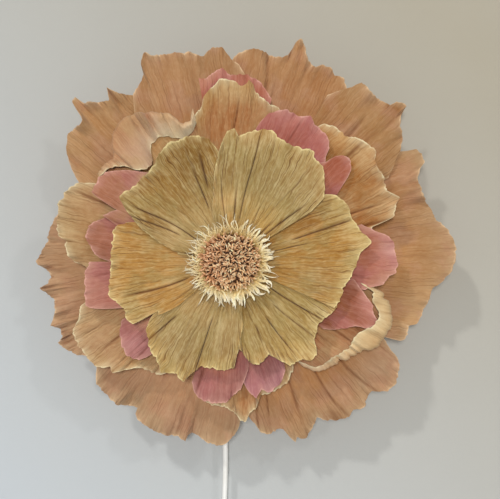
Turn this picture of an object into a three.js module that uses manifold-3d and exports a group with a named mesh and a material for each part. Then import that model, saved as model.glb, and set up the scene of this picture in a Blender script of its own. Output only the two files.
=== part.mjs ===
// Wall light made as a giant crepe paper peony.
// Millimetres, +Z up. The wall is the plane Y = 0 and the flower faces -Y.
// Angles run anticlockwise from +X as seen from the front; depth is measured from the wall.

import * as THREE from "three";
import { mergeVertices } from "three/addons/utils/BufferGeometryUtils.js";
import Module from "manifold-3d";

const wasm = await Module();
wasm.setup();

// Driving dimensions

const PAPER = 0.8; // stiffened double crepe, with its glue
const PAPER_GAP = 0.6; // between two petals that lie on each other
const CLEARANCE = 0.3; // between two pieces that touch
const OVERCUT = 1; // how far a hole's tool stands out of the face it cuts
const WELD_DISTANCE = 1e-4;

// Flat sides of round things, all the way round
const THIN_SIDES = 8; // screws, pins, cord
const SMALL_SIDES = 12; // gland, tubes
const DISC_SIDES = 16; // plywood discs
const PLATE_SIDES = 20; // steel plate, light board
const BASE_SIDES = 24;
const COIL_SIDES = 22;

const PLATE_RADIUS = 70;
const PLATE_THICK = 4;
const KEYHOLE_HEIGHT = 38;
const KEYHOLE_RADIUS = 4.5;
const KEYHOLE_SLOT = 12;
const KEYHOLE_SLOT_WIDTH = 5;

const BASE_RADIUS = 60;
const BASE_DEPTH = 30;
const BASE_WALL = 2.5;
const BASE_FRONT_WALL = 3;
const BOSS_RADIUS = 5;
const BOSS_INSET = 14;
const BOSS_OFFSET = BASE_RADIUS - BOSS_INSET;
const SCREW_RADIUS = 1.4;
const SCREW_LENGTH = 14;
const SCREW_POINT = 2;
const SCREW_HEAD_RADIUS = 3;
const SCREW_HEAD_THICK = 1.8;

const STEM_RADIUS = 5;
const STEM_BORE_RADIUS = 4;
const STEM_END = 1;
const NUT_RADIUS = 8;
const NUT_THICK = 4;
const SPACER_RADIUS = 8;
const SPACER_LENGTH = 33;

const OUTER_BOARD_RADIUS = 75;
const OUTER_BOARD_THICK = 3;
const MID_BOARD_RADIUS = 60;
const MID_BOARD_THICK = 2;
const INNER_BOARD_RADIUS = 50;
const INNER_BOARD_THICK = 2;
const LED_BOARD_RADIUS = 38;
const LED_BOARD_THICK = 1.6;
const LED_COUNT = 6;
const LED_SIZE = 4;
const LED_HEIGHT = 1;
const LED_RING_RADIUS = 31;
const FRONT_BOARD_RADIUS = 45;
const FRONT_BOARD_THICK = 2;
const CENTRE_DISC_RADIUS = 30;
const CENTRE_DISC_THICK = 2;

const TERMINAL_WIDTH = 24;
const TERMINAL_HEIGHT = 14;
const TERMINAL_DEPTH = 12;
const TERMINAL_DROP = 28;
const TERMINAL_HOLE_RADIUS = 2;
const TERMINAL_HOLE_DEPTH = 7;

const STAMEN_RADIUS = 31;
const STAMEN_EDGE = 3;
const STAMEN_DOME = 7;
const STAMEN_RECESS_RADIUS = 9;
const FILAMENT_RINGS = 6;
const FILAMENTS_AROUND = 24;
const FILAMENT_LENGTH = 6;
const FILAMENT_LEAN = 0.1;

const FRINGE_ROOT = 13;
const FRINGE_NECK = 33;
const FRINGE_TIPS = 15;
const FRINGE_TIP_RADIUS = 44;
const FRINGE_NOTCH_RADIUS = 34;
const FRINGE_RAGGED = 3;
const FRINGE_CURL = 7;
const FRINGE_BACK_CURL = 0.4; // share of the curl that the back ring has
const FRINGE_SHUFFLE = 2.4; // how quickly the raggedness changes from tip to tip

const PLEAT_STEP = 4; // degrees from one fold line to the next
const LIP_ROLL = 9; // radius of a petal's rolled rim
const LIP_EDGE = 3; // how far the roll comes back where it has no lip
const LAST_BEND = 2; // least distance from a sheet's last bend to its rim

const CORD_DIAMETER = 5.6;
const CORD_DEPTH = 16;
const CORD_X = -8;
const GLAND_RADIUS = 5;
const GLAND_FLANGE_RADIUS = 8;
const GLAND_FLANGE_THICK = 2.5;
const GLAND_TIP_RADIUS = 3.8;
const GLAND_NECK_RADIUS = 6;
const CORD_STEP = 14; // length of one straight piece of the cord

const COIL_RADIUS = 33.6; // twelve cord diameters across
const COIL_BUNDLE = 9;
const COIL_X = -2;
const COIL_Z = -327.6;
const TIE_WIDTH = 8;
const TIE_THICK = 1.2;
const TIE_SLACK = 1.1;
const TAIL_X = -38.4;
const TAIL_DEPTH = 23;
const TAIL_TOP = -350;
const PLUG_TOP = -364;
const PLUG_LENGTH = 36;
const PLUG_WIDTH = 26;
const PLUG_NECK_WIDTH = 11;
const PLUG_NECK_LENGTH = 8;
const PLUG_FLARE_LENGTH = 14;
const PLUG_THICK = 13;
const PIN_SPACING = 19;
const PIN_RADIUS = 2;
const PIN_LENGTH = 19;
const PIN_CHAMFER = 1;

// Where the cord hangs, from the gland down to the coil, in x and z

const CORD_POINTS = [
  [-8, -86],
  [-8, -98],
  [-8, -112],
  [-7.9, -128],
  [-7.8, -144],
  [-7.7, -160],
  [-7.5, -176],
  [-7.3, -192],
  [-7.1, -206],
  [-7, -220],
  [-7.1, -234],
  [-7.4, -246],
  [-7.8, -257],
  [-8.1, -266.6],
  [-8.7, -272],
  [-10.1, -277.4],
  [-14.2, -284.6],
];

// Depths, stacked up from the wall

const PITCH = PAPER + PAPER_GAP;

function stackFront(back, levels) {
  return back + CLEARANCE + (levels - 1) * PITCH + PAPER;
}

const plateFront = PLATE_THICK;
const baseBack = plateFront + CLEARANCE;
const baseFront = baseBack + BASE_DEPTH;
const outerBoardBack = baseFront + CLEARANCE;
const outerBoardFront = outerBoardBack + OUTER_BOARD_THICK;
const midBoardBack = stackFront(outerBoardFront, 2) + CLEARANCE;
const midBoardFront = midBoardBack + MID_BOARD_THICK;
const innerBoardBack = stackFront(midBoardFront, 2) + CLEARANCE;
const innerBoardFront = innerBoardBack + INNER_BOARD_THICK;
const ledBoardBack = stackFront(innerBoardFront, 2) + CLEARANCE;
const ledBoardFront = ledBoardBack + LED_BOARD_THICK;
const spacerBack = ledBoardFront + CLEARANCE;
const spacerFront = spacerBack + SPACER_LENGTH;
const frontBoardBack = spacerFront + CLEARANCE;
const frontBoardFront = frontBoardBack + FRONT_BOARD_THICK;
const centreDiscBack = stackFront(frontBoardFront, 5) + CLEARANCE;
const centreDiscFront = centreDiscBack + CENTRE_DISC_THICK;
const stamenBack = stackFront(centreDiscFront, 2) + CLEARANCE;
const frontNutBack = centreDiscFront + CLEARANCE;
const backNutFront = baseFront - BASE_FRONT_WALL - CLEARANCE;
const stemFront = frontNutBack + NUT_THICK + STEM_END;
const stemBack = backNutFront - NUT_THICK - STEM_END;
const stemHole = STEM_RADIUS + CLEARANCE;

// Petal layers: how a sheet leaves its board, rises and ruffles

const OUTER_LAYER = {
  root: 42,
  foot: outerBoardFront,
  flat: MID_BOARD_RADIUS + 3,
  reach: 212,
  rise: 15,
  spread: 3,
  wave: 3.4,
  waves: 13,
  phase: 0.6,
  pleat: 1.2,
  bends: 2,
};

const MID_LAYER = {
  root: 30,
  foot: midBoardFront,
  flat: INNER_BOARD_RADIUS + 3,
  reach: 186,
  rise: 38,
  spread: 4,
  wave: 2.4,
  waves: 11,
  phase: 0.2,
  pleat: 1.6,
  bends: 3,
};

const INNER_LAYER = {
  root: 24,
  foot: innerBoardFront,
  flat: LED_BOARD_RADIUS + 3,
  reach: 166,
  rise: 42,
  spread: 2,
  wave: 1.2,
  waves: 14,
  phase: 1,
  pleat: 1.2,
  bends: 2,
};

const FRONT_LAYER = {
  root: 20,
  foot: frontBoardFront,
  flat: CENTRE_DISC_RADIUS + 3,
  reach: 134,
  rise: 14,
  spread: 2.8,
  wave: 1.6,
  waves: 9,
  phase: 0.4,
  pleat: 1.3,
  bends: 3,
};

// Petals: the first fold line's angle, the level in the stack, and how far the paper
// goes on each fold line, clockwise, in percent of its layer's reach. A lip is where a
// rolled rim ends.

const OUTER_PETALS = [
  { from: 124, level: 1, rim: [87, 98, 105, 114, 110, 109, 106, 108, 108, 100, 90] },
  { from: 92, level: 0, rim: [97, 105, 108, 107, 107, 117, 108, 110, 108, 105, 97] },
  { from: 60, level: 1, rim: [97, 107, 111, 111, 115, 115, 108, 98, 90] },
  {
    from: 36,
    level: 0,
    rim: [94, 106, 110, 103, 102, 104, 106, 111, 114, 113, 108, 103, 101, 100, 97, 95, 83],
  },
  {
    from: -24,
    level: 1,
    rim: [78, 90, 100, 103, 102, 97, 100, 98, 96, 92, 94, 97, 92, 89, 87, 78],
  },
  { from: -84, level: 0, rim: [73, 84, 92, 93, 91, 92, 93, 94, 94, 93, 89, 93, 92, 92, 89, 83] },
  { from: -140, level: 1, rim: [78, 85, 89, 94, 95, 96, 93, 92, 97, 92, 99, 96, 93, 92, 90, 84] },
  { from: 156, level: 0, rim: [83, 90, 98, 103, 104, 108, 108, 103, 103, 98, 94, 87] },
];

const MID_PETALS = [
  { from: 104, level: 1, rim: [85, 92, 99, 103, 102, 103, 95, 92, 90, 75] },
  {
    from: 148,
    level: 0,
    rim: [91, 91, 90, 94, 99, 101, 101, 98, 94, 89, 85, 89],
    lip: [89, 88, 84, 74, 70, 72, 81, 82, 79, 75, 76, 82],
  },
  { from: 188, level: 1, rim: [65, 80, 88, 93, 95, 101, 101, 102, 101, 97, 81] },
  { from: 244, level: 0, rim: [65, 75, 76, 78, 81, 90, 92, 97, 98, 99, 98, 92, 88, 75] },
  { from: 304, level: 1, rim: [62, 70, 74, 76, 77, 78, 84, 89, 87, 82, 82, 80, 75, 65] },
  {
    from: -8,
    level: 0,
    rim: [75, 86, 93, 97, 97, 96, 91, 90, 85, 83, 82, 78, 70],
    lip: [72, 82, 84, 89, 88, 84, 81, 82, 81, 79, 78, 75, 68],
  },
  { from: 60, level: 1, rim: [81, 94, 96, 96, 101, 103, 101, 98, 97, 97, 101, 95, 81] },
];

const INNER_PETALS = [
  { from: 100, level: 0, layer: MID_LAYER, rim: [105, 106, 109, 106, 106, 103, 95] },
  { from: 164, level: 1, rim: [69, 86, 96, 98, 97, 95, 88, 80, 71] },
  { from: 184, level: 0, rim: [69, 78, 86, 92, 93, 91, 84, 80, 72] },
  { from: 204, level: 1, rim: [71, 84, 95, 94, 93, 92, 89] },
  { from: 232, level: 0, rim: [72, 82, 87, 88, 86, 83, 78] },
  { from: 280, level: 1, rim: [66, 78, 85, 89, 90, 89, 87, 80] },
  { from: 300, level: 0, rim: [69, 77, 83, 86, 84, 87, 78] },
  { from: -8, level: 1, rim: [78, 86, 92, 96, 98, 90, 81, 72] },
  { from: 16, level: 0, rim: [86, 94, 102, 104, 106, 104, 95, 87] },
  { from: 80, level: 0, rim: [84, 96, 101, 102, 102, 104, 101, 99, 90, 81] },
  { from: 48, level: 1, rim: [84, 96, 98, 92, 78] },
];

const FRONT_PETALS = [
  {
    from: 112,
    level: 4,
    rim: [
      37, 46, 57, 70, 85, 99, 101, 99, 102, 104, 106, 101, 101, 102, 105, 104, 102, 101, 95, 88, 73,
    ],
  },
  {
    from: 172,
    level: 3,
    rim: [42, 49, 58, 72, 85, 96, 98, 96, 94, 93, 94, 96, 99, 102, 102, 102, 102, 100, 96, 84],
  },
  {
    from: 220,
    level: 2,
    rim: [54, 70, 87, 91, 90, 93, 98, 96, 94, 93, 93, 93, 93, 93, 93, 86, 75, 60],
  },
  {
    from: 284,
    level: 1,
    rim: [34, 52, 67, 82, 84, 84, 84, 84, 87, 99, 96, 99, 99, 94, 93, 89, 86, 79, 66],
  },
  {
    from: 344,
    level: 0,
    rim: [63, 82, 89, 87, 84, 84, 87, 90, 98, 98, 93, 93, 84, 77, 81, 82, 78, 69, 64, 52, 37],
  },
  {
    from: 40,
    level: 1,
    rim: [75, 88, 97, 99, 99, 99, 101, 104, 108, 100, 98, 96, 93, 90, 90, 90, 87],
  },
];

// Colours of the real materials

const OUTER_COLOR = 0xb6855d;
const MID_COLOR = 0xc8a873;
const INNER_COLOR = 0xb2665f;
const FRONT_COLOR = 0xac945a;
const FRINGE_COLOR = 0xeadfb0;
const STAMEN_COLOR = 0x9a6238;
const BOARD_COLOR = 0xb99a6b;
const WHITE_PLASTIC = 0xe6e4de;
const STEEL_COLOR = 0xb9bcc0;
const LED_BOARD_COLOR = 0xd9dcd2;

// Solids, joins and cuts

function welded(geometry) {
  const source = geometry.clone();
  source.deleteAttribute("normal");
  source.deleteAttribute("uv");
  return mergeVertices(source, WELD_DISTANCE);
}

function signedVolume(geometry) {
  const position = geometry.getAttribute("position");
  const index = geometry.getIndex().array;
  const [a, b, c] = [new THREE.Vector3(), new THREE.Vector3(), new THREE.Vector3()];
  let volume = 0;
  for (let i = 0; i < index.length; i += 3) {
    a.fromBufferAttribute(position, index[i]);
    b.fromBufferAttribute(position, index[i + 1]);
    c.fromBufferAttribute(position, index[i + 2]);
    volume += a.dot(b.cross(c)) / 6;
  }
  return volume;
}

function facingOut(geometry) {
  const solid = welded(geometry);
  if (signedVolume(solid) < 0) {
    solid.getIndex().array.reverse();
  }
  return solid;
}

function toManifold(geometry) {
  const solid = facingOut(geometry);
  return new wasm.Manifold(
    new wasm.Mesh({
      numProp: 3,
      vertProperties: new Float32Array(solid.getAttribute("position").array),
      triVerts: new Uint32Array(solid.getIndex().array),
    }),
  );
}

function fromManifold(manifold) {
  const mesh = manifold.getMesh();
  const geometry = new THREE.BufferGeometry();
  geometry.setAttribute("position", new THREE.BufferAttribute(mesh.vertProperties, 3));
  geometry.setIndex(new THREE.BufferAttribute(mesh.triVerts, 1));
  return geometry;
}

function join(first, others) {
  return fromManifold(others.reduce((sum, item) => sum.add(toManifold(item)), toManifold(first)));
}

function cut(first, others) {
  const start = toManifold(first);
  return fromManifold(others.reduce((rest, item) => rest.subtract(toManifold(item)), start));
}

// A profile of [radius, depth] points turned about the flower's axis
function turned(profile, sides) {
  const points = profile.map(([radius, depth]) => new THREE.Vector2(radius, -depth));
  return facingOut(new THREE.LatheGeometry(points, sides));
}

function closedTurned(profile, sides) {
  return turned([...profile, profile[0]], sides);
}

function disc(radius, bore, back, front, sides) {
  const shape = new THREE.Shape().absarc(0, 0, radius, 0, 2 * Math.PI);
  if (bore > 0) {
    shape.holes.push(new THREE.Path().absarc(0, 0, bore, 0, 2 * Math.PI, true));
  }
  return facingWall(shape, back, front, sides / 2);
}

// An outline in x and z, given its thickness from one depth to another
function facingWall(shape, back, front, curveSegments) {
  const geometry = new THREE.ExtrudeGeometry(shape, {
    depth: front - back,
    bevelEnabled: false,
    curveSegments,
  });
  geometry.rotateX(Math.PI / 2);
  geometry.translate(0, -back, 0);
  return facingOut(geometry);
}

function rod(radius, back, front, x, z) {
  const geometry = turned([[0, back], [radius, back], [radius, front], [0, front]], THIN_SIDES);
  geometry.translate(x, 0, z);
  return geometry;
}

function hexagon(radius, bore, back, front) {
  const corners = Array.from({ length: 6 }, (_, i) => {
    const angle = (i * Math.PI) / 3;
    return new THREE.Vector2(radius * Math.cos(angle), radius * Math.sin(angle));
  });
  const shape = new THREE.Shape(corners);
  shape.holes.push(new THREE.Path().absarc(0, 0, bore, 0, 2 * Math.PI, true));
  return facingWall(shape, back, front, SMALL_SIDES / 2);
}

// Paper: each column is a fold line, a path of radius and depth at one angle. Front and
// back have the same diagonals, so the sheet is equally thick all over.

function paperSheet(columns, isRing) {
  const rows = columns[0].path.length;
  const count = columns.length;
  const positions = [];
  const faces = [];
  columns.forEach(({ angle, path }) => {
    path.forEach((point, row) => {
      const before = path[Math.max(row - 1, 0)];
      const after = path[Math.min(row + 1, rows - 1)];
      const along = new THREE.Vector2().subVectors(after, before).normalize();
      [PAPER / 2, -PAPER / 2].forEach((side) => {
        const radius = point.x - along.y * side;
        const depth = point.y + along.x * side;
        positions.push(radius * Math.cos(angle), -depth, radius * Math.sin(angle));
      });
    });
  });
  const vertex = (column, row, side) => ((column % count) * rows + row) * 2 + side;
  const quad = (a, b, c, d) => faces.push(a, b, c, a, c, d);
  const last = rows - 1;
  const spans = isRing ? count : count - 1;
  for (let i = 0; i < spans; i += 1) {
    for (let j = 0; j < last; j += 1) {
      quad(vertex(i, j, 0), vertex(i + 1, j, 0), vertex(i + 1, j + 1, 0), vertex(i, j + 1, 0));
      quad(vertex(i, j, 1), vertex(i, j + 1, 1), vertex(i + 1, j + 1, 1), vertex(i + 1, j, 1));
    }
    quad(vertex(i, 0, 1), vertex(i + 1, 0, 1), vertex(i + 1, 0, 0), vertex(i, 0, 0));
    quad(vertex(i, last, 0), vertex(i + 1, last, 0), vertex(i + 1, last, 1), vertex(i, last, 1));
  }
  if (!isRing) {
    for (let j = 0; j < last; j += 1) {
      quad(vertex(0, j, 1), vertex(0, j, 0), vertex(0, j + 1, 0), vertex(0, j + 1, 1));
      quad(
        vertex(count - 1, j, 0),
        vertex(count - 1, j, 1),
        vertex(count - 1, j + 1, 1),
        vertex(count - 1, j + 1, 0),
      );
    }
  }
  const geometry = new THREE.BufferGeometry();
  geometry.setAttribute("position", new THREE.Float32BufferAttribute(positions, 3));
  geometry.setIndex(faces);
  return facingOut(geometry);
}

// All petals of a layer share one ruffle and one set of fold lines, so they nest
function smoothDepth(layer, level, degrees, radius) {
  const share = THREE.MathUtils.clamp((radius - layer.flat) / (layer.reach - layer.flat), 0, 1);
  const rise = Math.sin((share * Math.PI) / 2);
  const angle = THREE.MathUtils.degToRad(degrees);
  const ruffle = layer.wave * Math.cos(layer.waves * angle + layer.phase) * rise * rise;
  const foldSide = Math.round(degrees / PLEAT_STEP) % 2 === 0 ? 1 : -1;
  const halfway = 4 * rise * (1 - rise); // nothing at the root and rim, one between them
  const fold = layer.pleat * foldSide * halfway;
  const foot = layer.foot + CLEARANCE + PAPER / 2 + level * PITCH;
  return foot + rise * (layer.rise + level * layer.spread) + ruffle + fold;
}

// Rings where every sheet of a layer bends; between them a fold line is straight
function bendRadii(layer) {
  const step = (layer.reach - layer.flat) / layer.bends;
  return Array.from({ length: layer.bends }, (_, i) => layer.flat + i * step);
}

function paperDepth(layer, level, degrees, radius) {
  const bends = [layer.root, ...bendRadii(layer), layer.reach];
  const beyond = bends.findIndex((bend) => bend > radius);
  const outer = beyond < 0 ? bends.length - 1 : beyond;
  const [start, end] = [bends[outer - 1], bends[outer]];
  return THREE.MathUtils.mapLinear(
    radius,
    start,
    end,
    smoothDepth(layer, level, degrees, start),
    smoothDepth(layer, level, degrees, end),
  );
}

// A fold line's points: its root, each bend that the paper reaches, and its rim
function foldLine(layer, level, degrees, rim) {
  const bends = bendRadii(layer);
  const radii = [layer.root, ...bends.filter((bend) => bend < rim - LAST_BEND)];
  const missing = bends.length + 2 - radii.length;
  const start = radii[radii.length - 1];
  for (let i = 1; i <= missing; i += 1) {
    radii.push(start + ((rim - start) * i) / missing);
  }
  return radii.map((radius) => {
    return new THREE.Vector2(radius, paperDepth(layer, level, degrees, radius));
  });
}

function rolledRim(rim, lip, depth, roll) {
  const turn = [0.25, 0.5, 0.75, 1].map((share) => {
    const angle = share * Math.PI;
    return new THREE.Vector2(
      rim - roll + roll * Math.sin(angle),
      depth + roll - roll * Math.cos(angle),
    );
  });
  return [...turn, new THREE.Vector2(lip, depth + 2 * roll)];
}

function petal({ from, level, rim, lip, layer }) {
  const unit = layer.reach / 100;
  const columns = rim.map((percent, i) => {
    const degrees = from - i * PLEAT_STEP;
    const radius = percent * unit;
    const lipRadius = lip ? Math.min(lip[i] * unit, radius - LIP_EDGE) : radius;
    const roll = Math.min(LIP_ROLL, (radius - lipRadius) / 2 - PAPER / 4);
    const sheetEnd = lip ? radius - roll : radius;
    const path = foldLine(layer, level, degrees, sheetEnd);
    if (lip) {
      path.push(...rolledRim(radius, lipRadius, path[path.length - 1].y, roll));
    }
    return { angle: THREE.MathUtils.degToRad(degrees), path };
  });
  return paperSheet(columns, false);
}

function fringe(level, turnBy) {
  const count = 2 * FRINGE_TIPS;
  const foot = centreDiscFront + CLEARANCE + PAPER / 2 + level * PITCH;
  const columns = Array.from({ length: count }, (_, i) => {
    const isTip = i % 2 === 0;
    const ragged = FRINGE_RAGGED * Math.sin(i * FRINGE_SHUFFLE + level);
    const end = isTip ? FRINGE_TIP_RADIUS + ragged : FRINGE_NOTCH_RADIUS;
    const curl = isTip ? FRINGE_CURL + ragged : 0;
    const path = [
      new THREE.Vector2(FRINGE_ROOT, foot),
      new THREE.Vector2(FRINGE_NECK, foot),
      new THREE.Vector2(end, foot + curl * (FRINGE_BACK_CURL + level)),
    ];
    return { angle: ((i + turnBy) * 2 * Math.PI) / count, path };
  });
  return paperSheet(columns, true);
}

// The stamens: a wound strip cut into filaments, every other point of the dome a tip
function stamenHead() {
  const recess = stemFront + CLEARANCE;
  const profile = [
    [0, recess],
    [STAMEN_RECESS_RADIUS, recess],
    [STAMEN_RECESS_RADIUS, stamenBack],
    [STAMEN_RADIUS, stamenBack],
  ];
  const firstRing = profile.length;
  for (let ring = FILAMENT_RINGS; ring >= 0; ring -= 1) {
    const share = ring / FILAMENT_RINGS;
    const height = STAMEN_EDGE + STAMEN_DOME * Math.sqrt(1 - share * share);
    profile.push([share * STAMEN_RADIUS, stamenBack + height]);
  }
  const points = profile.map(([radius, depth]) => new THREE.Vector2(radius, -depth));
  const geometry = new THREE.LatheGeometry(points, FILAMENTS_AROUND);
  const position = geometry.getAttribute("position");
  for (let column = 0; column <= FILAMENTS_AROUND; column += 1) {
    for (let ring = firstRing; ring < points.length - 1; ring += 1) {
      const isTip = (column + ring) % 2 === 0;
      const vertex = column * points.length + ring;
      if (isTip) {
        const lean = 1 + FILAMENT_LEAN * (points[ring].x / STAMEN_RADIUS);
        position.setXYZ(
          vertex,
          position.getX(vertex) * lean,
          position.getY(vertex) - FILAMENT_LENGTH,
          position.getZ(vertex) * lean,
        );
      }
    }
  }
  return facingOut(geometry);
}

// Lamp base and its fixings

function backPlate() {
  const shape = new THREE.Shape().absarc(0, 0, PLATE_RADIUS, 0, 2 * Math.PI);
  const half = KEYHOLE_SLOT_WIDTH / 2;
  const neck = Math.asin(half / KEYHOLE_RADIUS);
  const slotTop = KEYHOLE_HEIGHT + KEYHOLE_SLOT;
  const keyhole = new THREE.Path();
  keyhole.absarc(0, slotTop, half, 0, Math.PI, false);
  keyhole.absarc(0, KEYHOLE_HEIGHT, KEYHOLE_RADIUS, Math.PI / 2 + neck, 2.5 * Math.PI - neck, false);
  shape.holes.push(keyhole);
  const plate = facingWall(shape, 0, plateFront, PLATE_SIDES / 2);
  const holes = [-BOSS_OFFSET, BOSS_OFFSET].flatMap((x) => [
    rod(SCREW_RADIUS + CLEARANCE, -OVERCUT, plateFront + OVERCUT, x, 0),
    rod(SCREW_HEAD_RADIUS + CLEARANCE, -OVERCUT, SCREW_HEAD_THICK + CLEARANCE, x, 0),
  ]);
  return cut(plate, holes);
}

function lampBase() {
  const inside = BASE_RADIUS - BASE_WALL;
  const innerFront = baseFront - BASE_FRONT_WALL;
  const profile = [
    [inside, baseBack],
    [BASE_RADIUS, baseBack],
    [BASE_RADIUS, baseFront],
    [stemHole, baseFront],
    [stemHole, innerFront],
    [inside, innerFront],
  ];
  const cup = closedTurned(profile, BASE_SIDES);
  const bosses = [-BOSS_OFFSET, BOSS_OFFSET].map((x) =>
    rod(BOSS_RADIUS, baseBack, innerFront + OVERCUT, x, 0),
  );
  const holeEnd = SCREW_HEAD_THICK + SCREW_LENGTH + OVERCUT;
  const holes = [-BOSS_OFFSET, BOSS_OFFSET].map((x) =>
    rod(SCREW_RADIUS + CLEARANCE, baseBack - OVERCUT, holeEnd, x, 0),
  );
  const glandHole = new THREE.CylinderGeometry(
    GLAND_RADIUS + CLEARANCE,
    GLAND_RADIUS + CLEARANCE,
    BASE_RADIUS / 2,
    SMALL_SIDES,
  );
  glandHole.rotateX(Math.PI / 2);
  glandHole.translate(CORD_X, -CORD_DEPTH, -BASE_RADIUS);
  return cut(join(cup, bosses), [...holes, glandHole]);
}

function baseScrew(x) {
  const profile = [
    [0, CLEARANCE / 2],
    [SCREW_HEAD_RADIUS, CLEARANCE / 2],
    [SCREW_HEAD_RADIUS, SCREW_HEAD_THICK],
    [SCREW_RADIUS, SCREW_HEAD_THICK],
    [SCREW_RADIUS, SCREW_HEAD_THICK + SCREW_LENGTH - SCREW_POINT],
    [0, SCREW_HEAD_THICK + SCREW_LENGTH],
  ];
  const geometry = turned(profile, THIN_SIDES);
  geometry.translate(x, 0, 0);
  return geometry;
}

function cordGland() {
  const seat = BASE_RADIUS + CLEARANCE;
  const chord = Math.abs(CORD_X) + GLAND_FLANGE_RADIUS;
  const inside = (BASE_RADIUS - BASE_WALL) * Math.cos(Math.PI / BASE_SIDES);
  const innerWall = Math.sqrt(inside ** 2 - chord ** 2) - CLEARANCE;
  const tip = -CORD_POINTS[0][1] - CLEARANCE;
  const profile = [
    [0, innerWall - GLAND_FLANGE_THICK],
    [GLAND_FLANGE_RADIUS, innerWall - GLAND_FLANGE_THICK],
    [GLAND_FLANGE_RADIUS, innerWall],
    [GLAND_RADIUS, innerWall],
    [GLAND_RADIUS, seat],
    [GLAND_FLANGE_RADIUS, seat],
    [GLAND_FLANGE_RADIUS, seat + GLAND_FLANGE_THICK],
    [GLAND_NECK_RADIUS, seat + GLAND_FLANGE_THICK],
    [GLAND_TIP_RADIUS, tip],
    [0, tip],
  ];
  const geometry = turned(profile, SMALL_SIDES);
  geometry.rotateX(Math.PI / 2);
  geometry.translate(CORD_X, -CORD_DEPTH, 0);
  return geometry;
}

function terminalBlock() {
  const back = backNutFront - TERMINAL_DEPTH;
  const block = new THREE.BoxGeometry(TERMINAL_WIDTH, TERMINAL_DEPTH, TERMINAL_HEIGHT);
  block.translate(0, -(back + TERMINAL_DEPTH / 2), -TERMINAL_DROP);
  const holes = [-TERMINAL_WIDTH / 4, TERMINAL_WIDTH / 4].map((x) =>
    rod(TERMINAL_HOLE_RADIUS, back - OVERCUT, back + TERMINAL_HOLE_DEPTH, x, -TERMINAL_DROP),
  );
  return cut(block, holes);
}

function ledBoard() {
  const board = disc(LED_BOARD_RADIUS, stemHole, ledBoardBack, ledBoardFront, PLATE_SIDES);
  const chips = Array.from({ length: LED_COUNT }, (_, i) => {
    const chip = new THREE.BoxGeometry(LED_SIZE, LED_HEIGHT * 2, LED_SIZE);
    chip.translate(LED_RING_RADIUS, -ledBoardFront, 0);
    chip.rotateY((-i * 2 * Math.PI) / LED_COUNT);
    return chip;
  });
  return join(board, chips);
}

function tube(radius, bore, back, front) {
  const profile = [[bore, back], [radius, back], [radius, front], [bore, front]];
  return closedTurned(profile, SMALL_SIDES);
}

// Cord, coil and plug

function cordTube(points, depth) {
  const radius = CORD_DIAMETER / 2;
  const shape = new THREE.Shape(
    Array.from({ length: THIN_SIDES }, (_, i) => {
      const angle = ((i + 0.5) * 2 * Math.PI) / THIN_SIDES;
      return new THREE.Vector2(radius * Math.cos(angle), radius * Math.sin(angle));
    }),
  );
  const path = new THREE.CatmullRomCurve3(points.map(([x, z]) => new THREE.Vector3(x, -depth, z)));
  const steps = Math.max(2, Math.round(path.getLength() / CORD_STEP));
  const geometry = new THREE.ExtrudeGeometry(shape, {
    steps,
    extrudePath: path,
    bevelEnabled: false,
  });
  return facingOut(geometry);
}

function cordCoil() {
  const section = Array.from({ length: THIN_SIDES }, (_, i) => {
    const angle = (i * 2 * Math.PI) / THIN_SIDES;
    return [COIL_RADIUS + COIL_BUNDLE * Math.cos(angle), COIL_BUNDLE * Math.sin(angle)];
  });
  const geometry = closedTurned(section, COIL_SIDES);
  geometry.translate(COIL_X, -CORD_DEPTH, COIL_Z);
  return geometry;
}

function cordTie() {
  const inner = COIL_BUNDLE + TIE_SLACK;
  const shape = new THREE.Shape().absarc(0, 0, inner + TIE_THICK, 0, 2 * Math.PI);
  shape.holes.push(new THREE.Path().absarc(0, 0, inner, 0, 2 * Math.PI, true));
  const geometry = new THREE.ExtrudeGeometry(shape, {
    depth: TIE_WIDTH,
    bevelEnabled: false,
    curveSegments: SMALL_SIDES / 2,
  });
  geometry.translate(0, 0, -TIE_WIDTH / 2);
  geometry.rotateY(Math.PI / 2);
  geometry.translate(COIL_X, -CORD_DEPTH, COIL_Z + COIL_RADIUS);
  return facingOut(geometry);
}

function plugBody() {
  const half = PLUG_WIDTH / 2;
  const neck = PLUG_NECK_WIDTH / 2;
  const neckEnd = PLUG_TOP - PLUG_NECK_LENGTH;
  const gripTop = neckEnd - PLUG_FLARE_LENGTH;
  const flare = (neckEnd + gripTop) / 2;
  const bottom = PLUG_TOP - PLUG_LENGTH;
  const shape = new THREE.Shape();
  shape.moveTo(TAIL_X - neck, PLUG_TOP);
  shape.lineTo(TAIL_X - neck, neckEnd);
  shape.bezierCurveTo(TAIL_X - neck, flare, TAIL_X - half, flare, TAIL_X - half, gripTop);
  shape.lineTo(TAIL_X - half, bottom);
  shape.lineTo(TAIL_X + half, bottom);
  shape.lineTo(TAIL_X + half, gripTop);
  shape.bezierCurveTo(TAIL_X + half, flare, TAIL_X + neck, flare, TAIL_X + neck, neckEnd);
  shape.lineTo(TAIL_X + neck, PLUG_TOP);
  return facingWall(shape, TAIL_DEPTH - PLUG_THICK / 2, TAIL_DEPTH + PLUG_THICK / 2, 5);
}

function plugPin(side) {
  const top = PLUG_TOP - PLUG_LENGTH - CLEARANCE;
  const profile = [
    [0, 0],
    [PIN_RADIUS, 0],
    [PIN_RADIUS, PIN_LENGTH - PIN_CHAMFER],
    [PIN_RADIUS - PIN_CHAMFER, PIN_LENGTH],
    [0, PIN_LENGTH],
  ];
  const geometry = turned(profile, THIN_SIDES);
  geometry.rotateX(Math.PI / 2);
  geometry.translate(TAIL_X + (side * PIN_SPACING) / 2, -TAIL_DEPTH, top);
  return geometry;
}

// The assembly

const peony = new THREE.Group();

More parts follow.
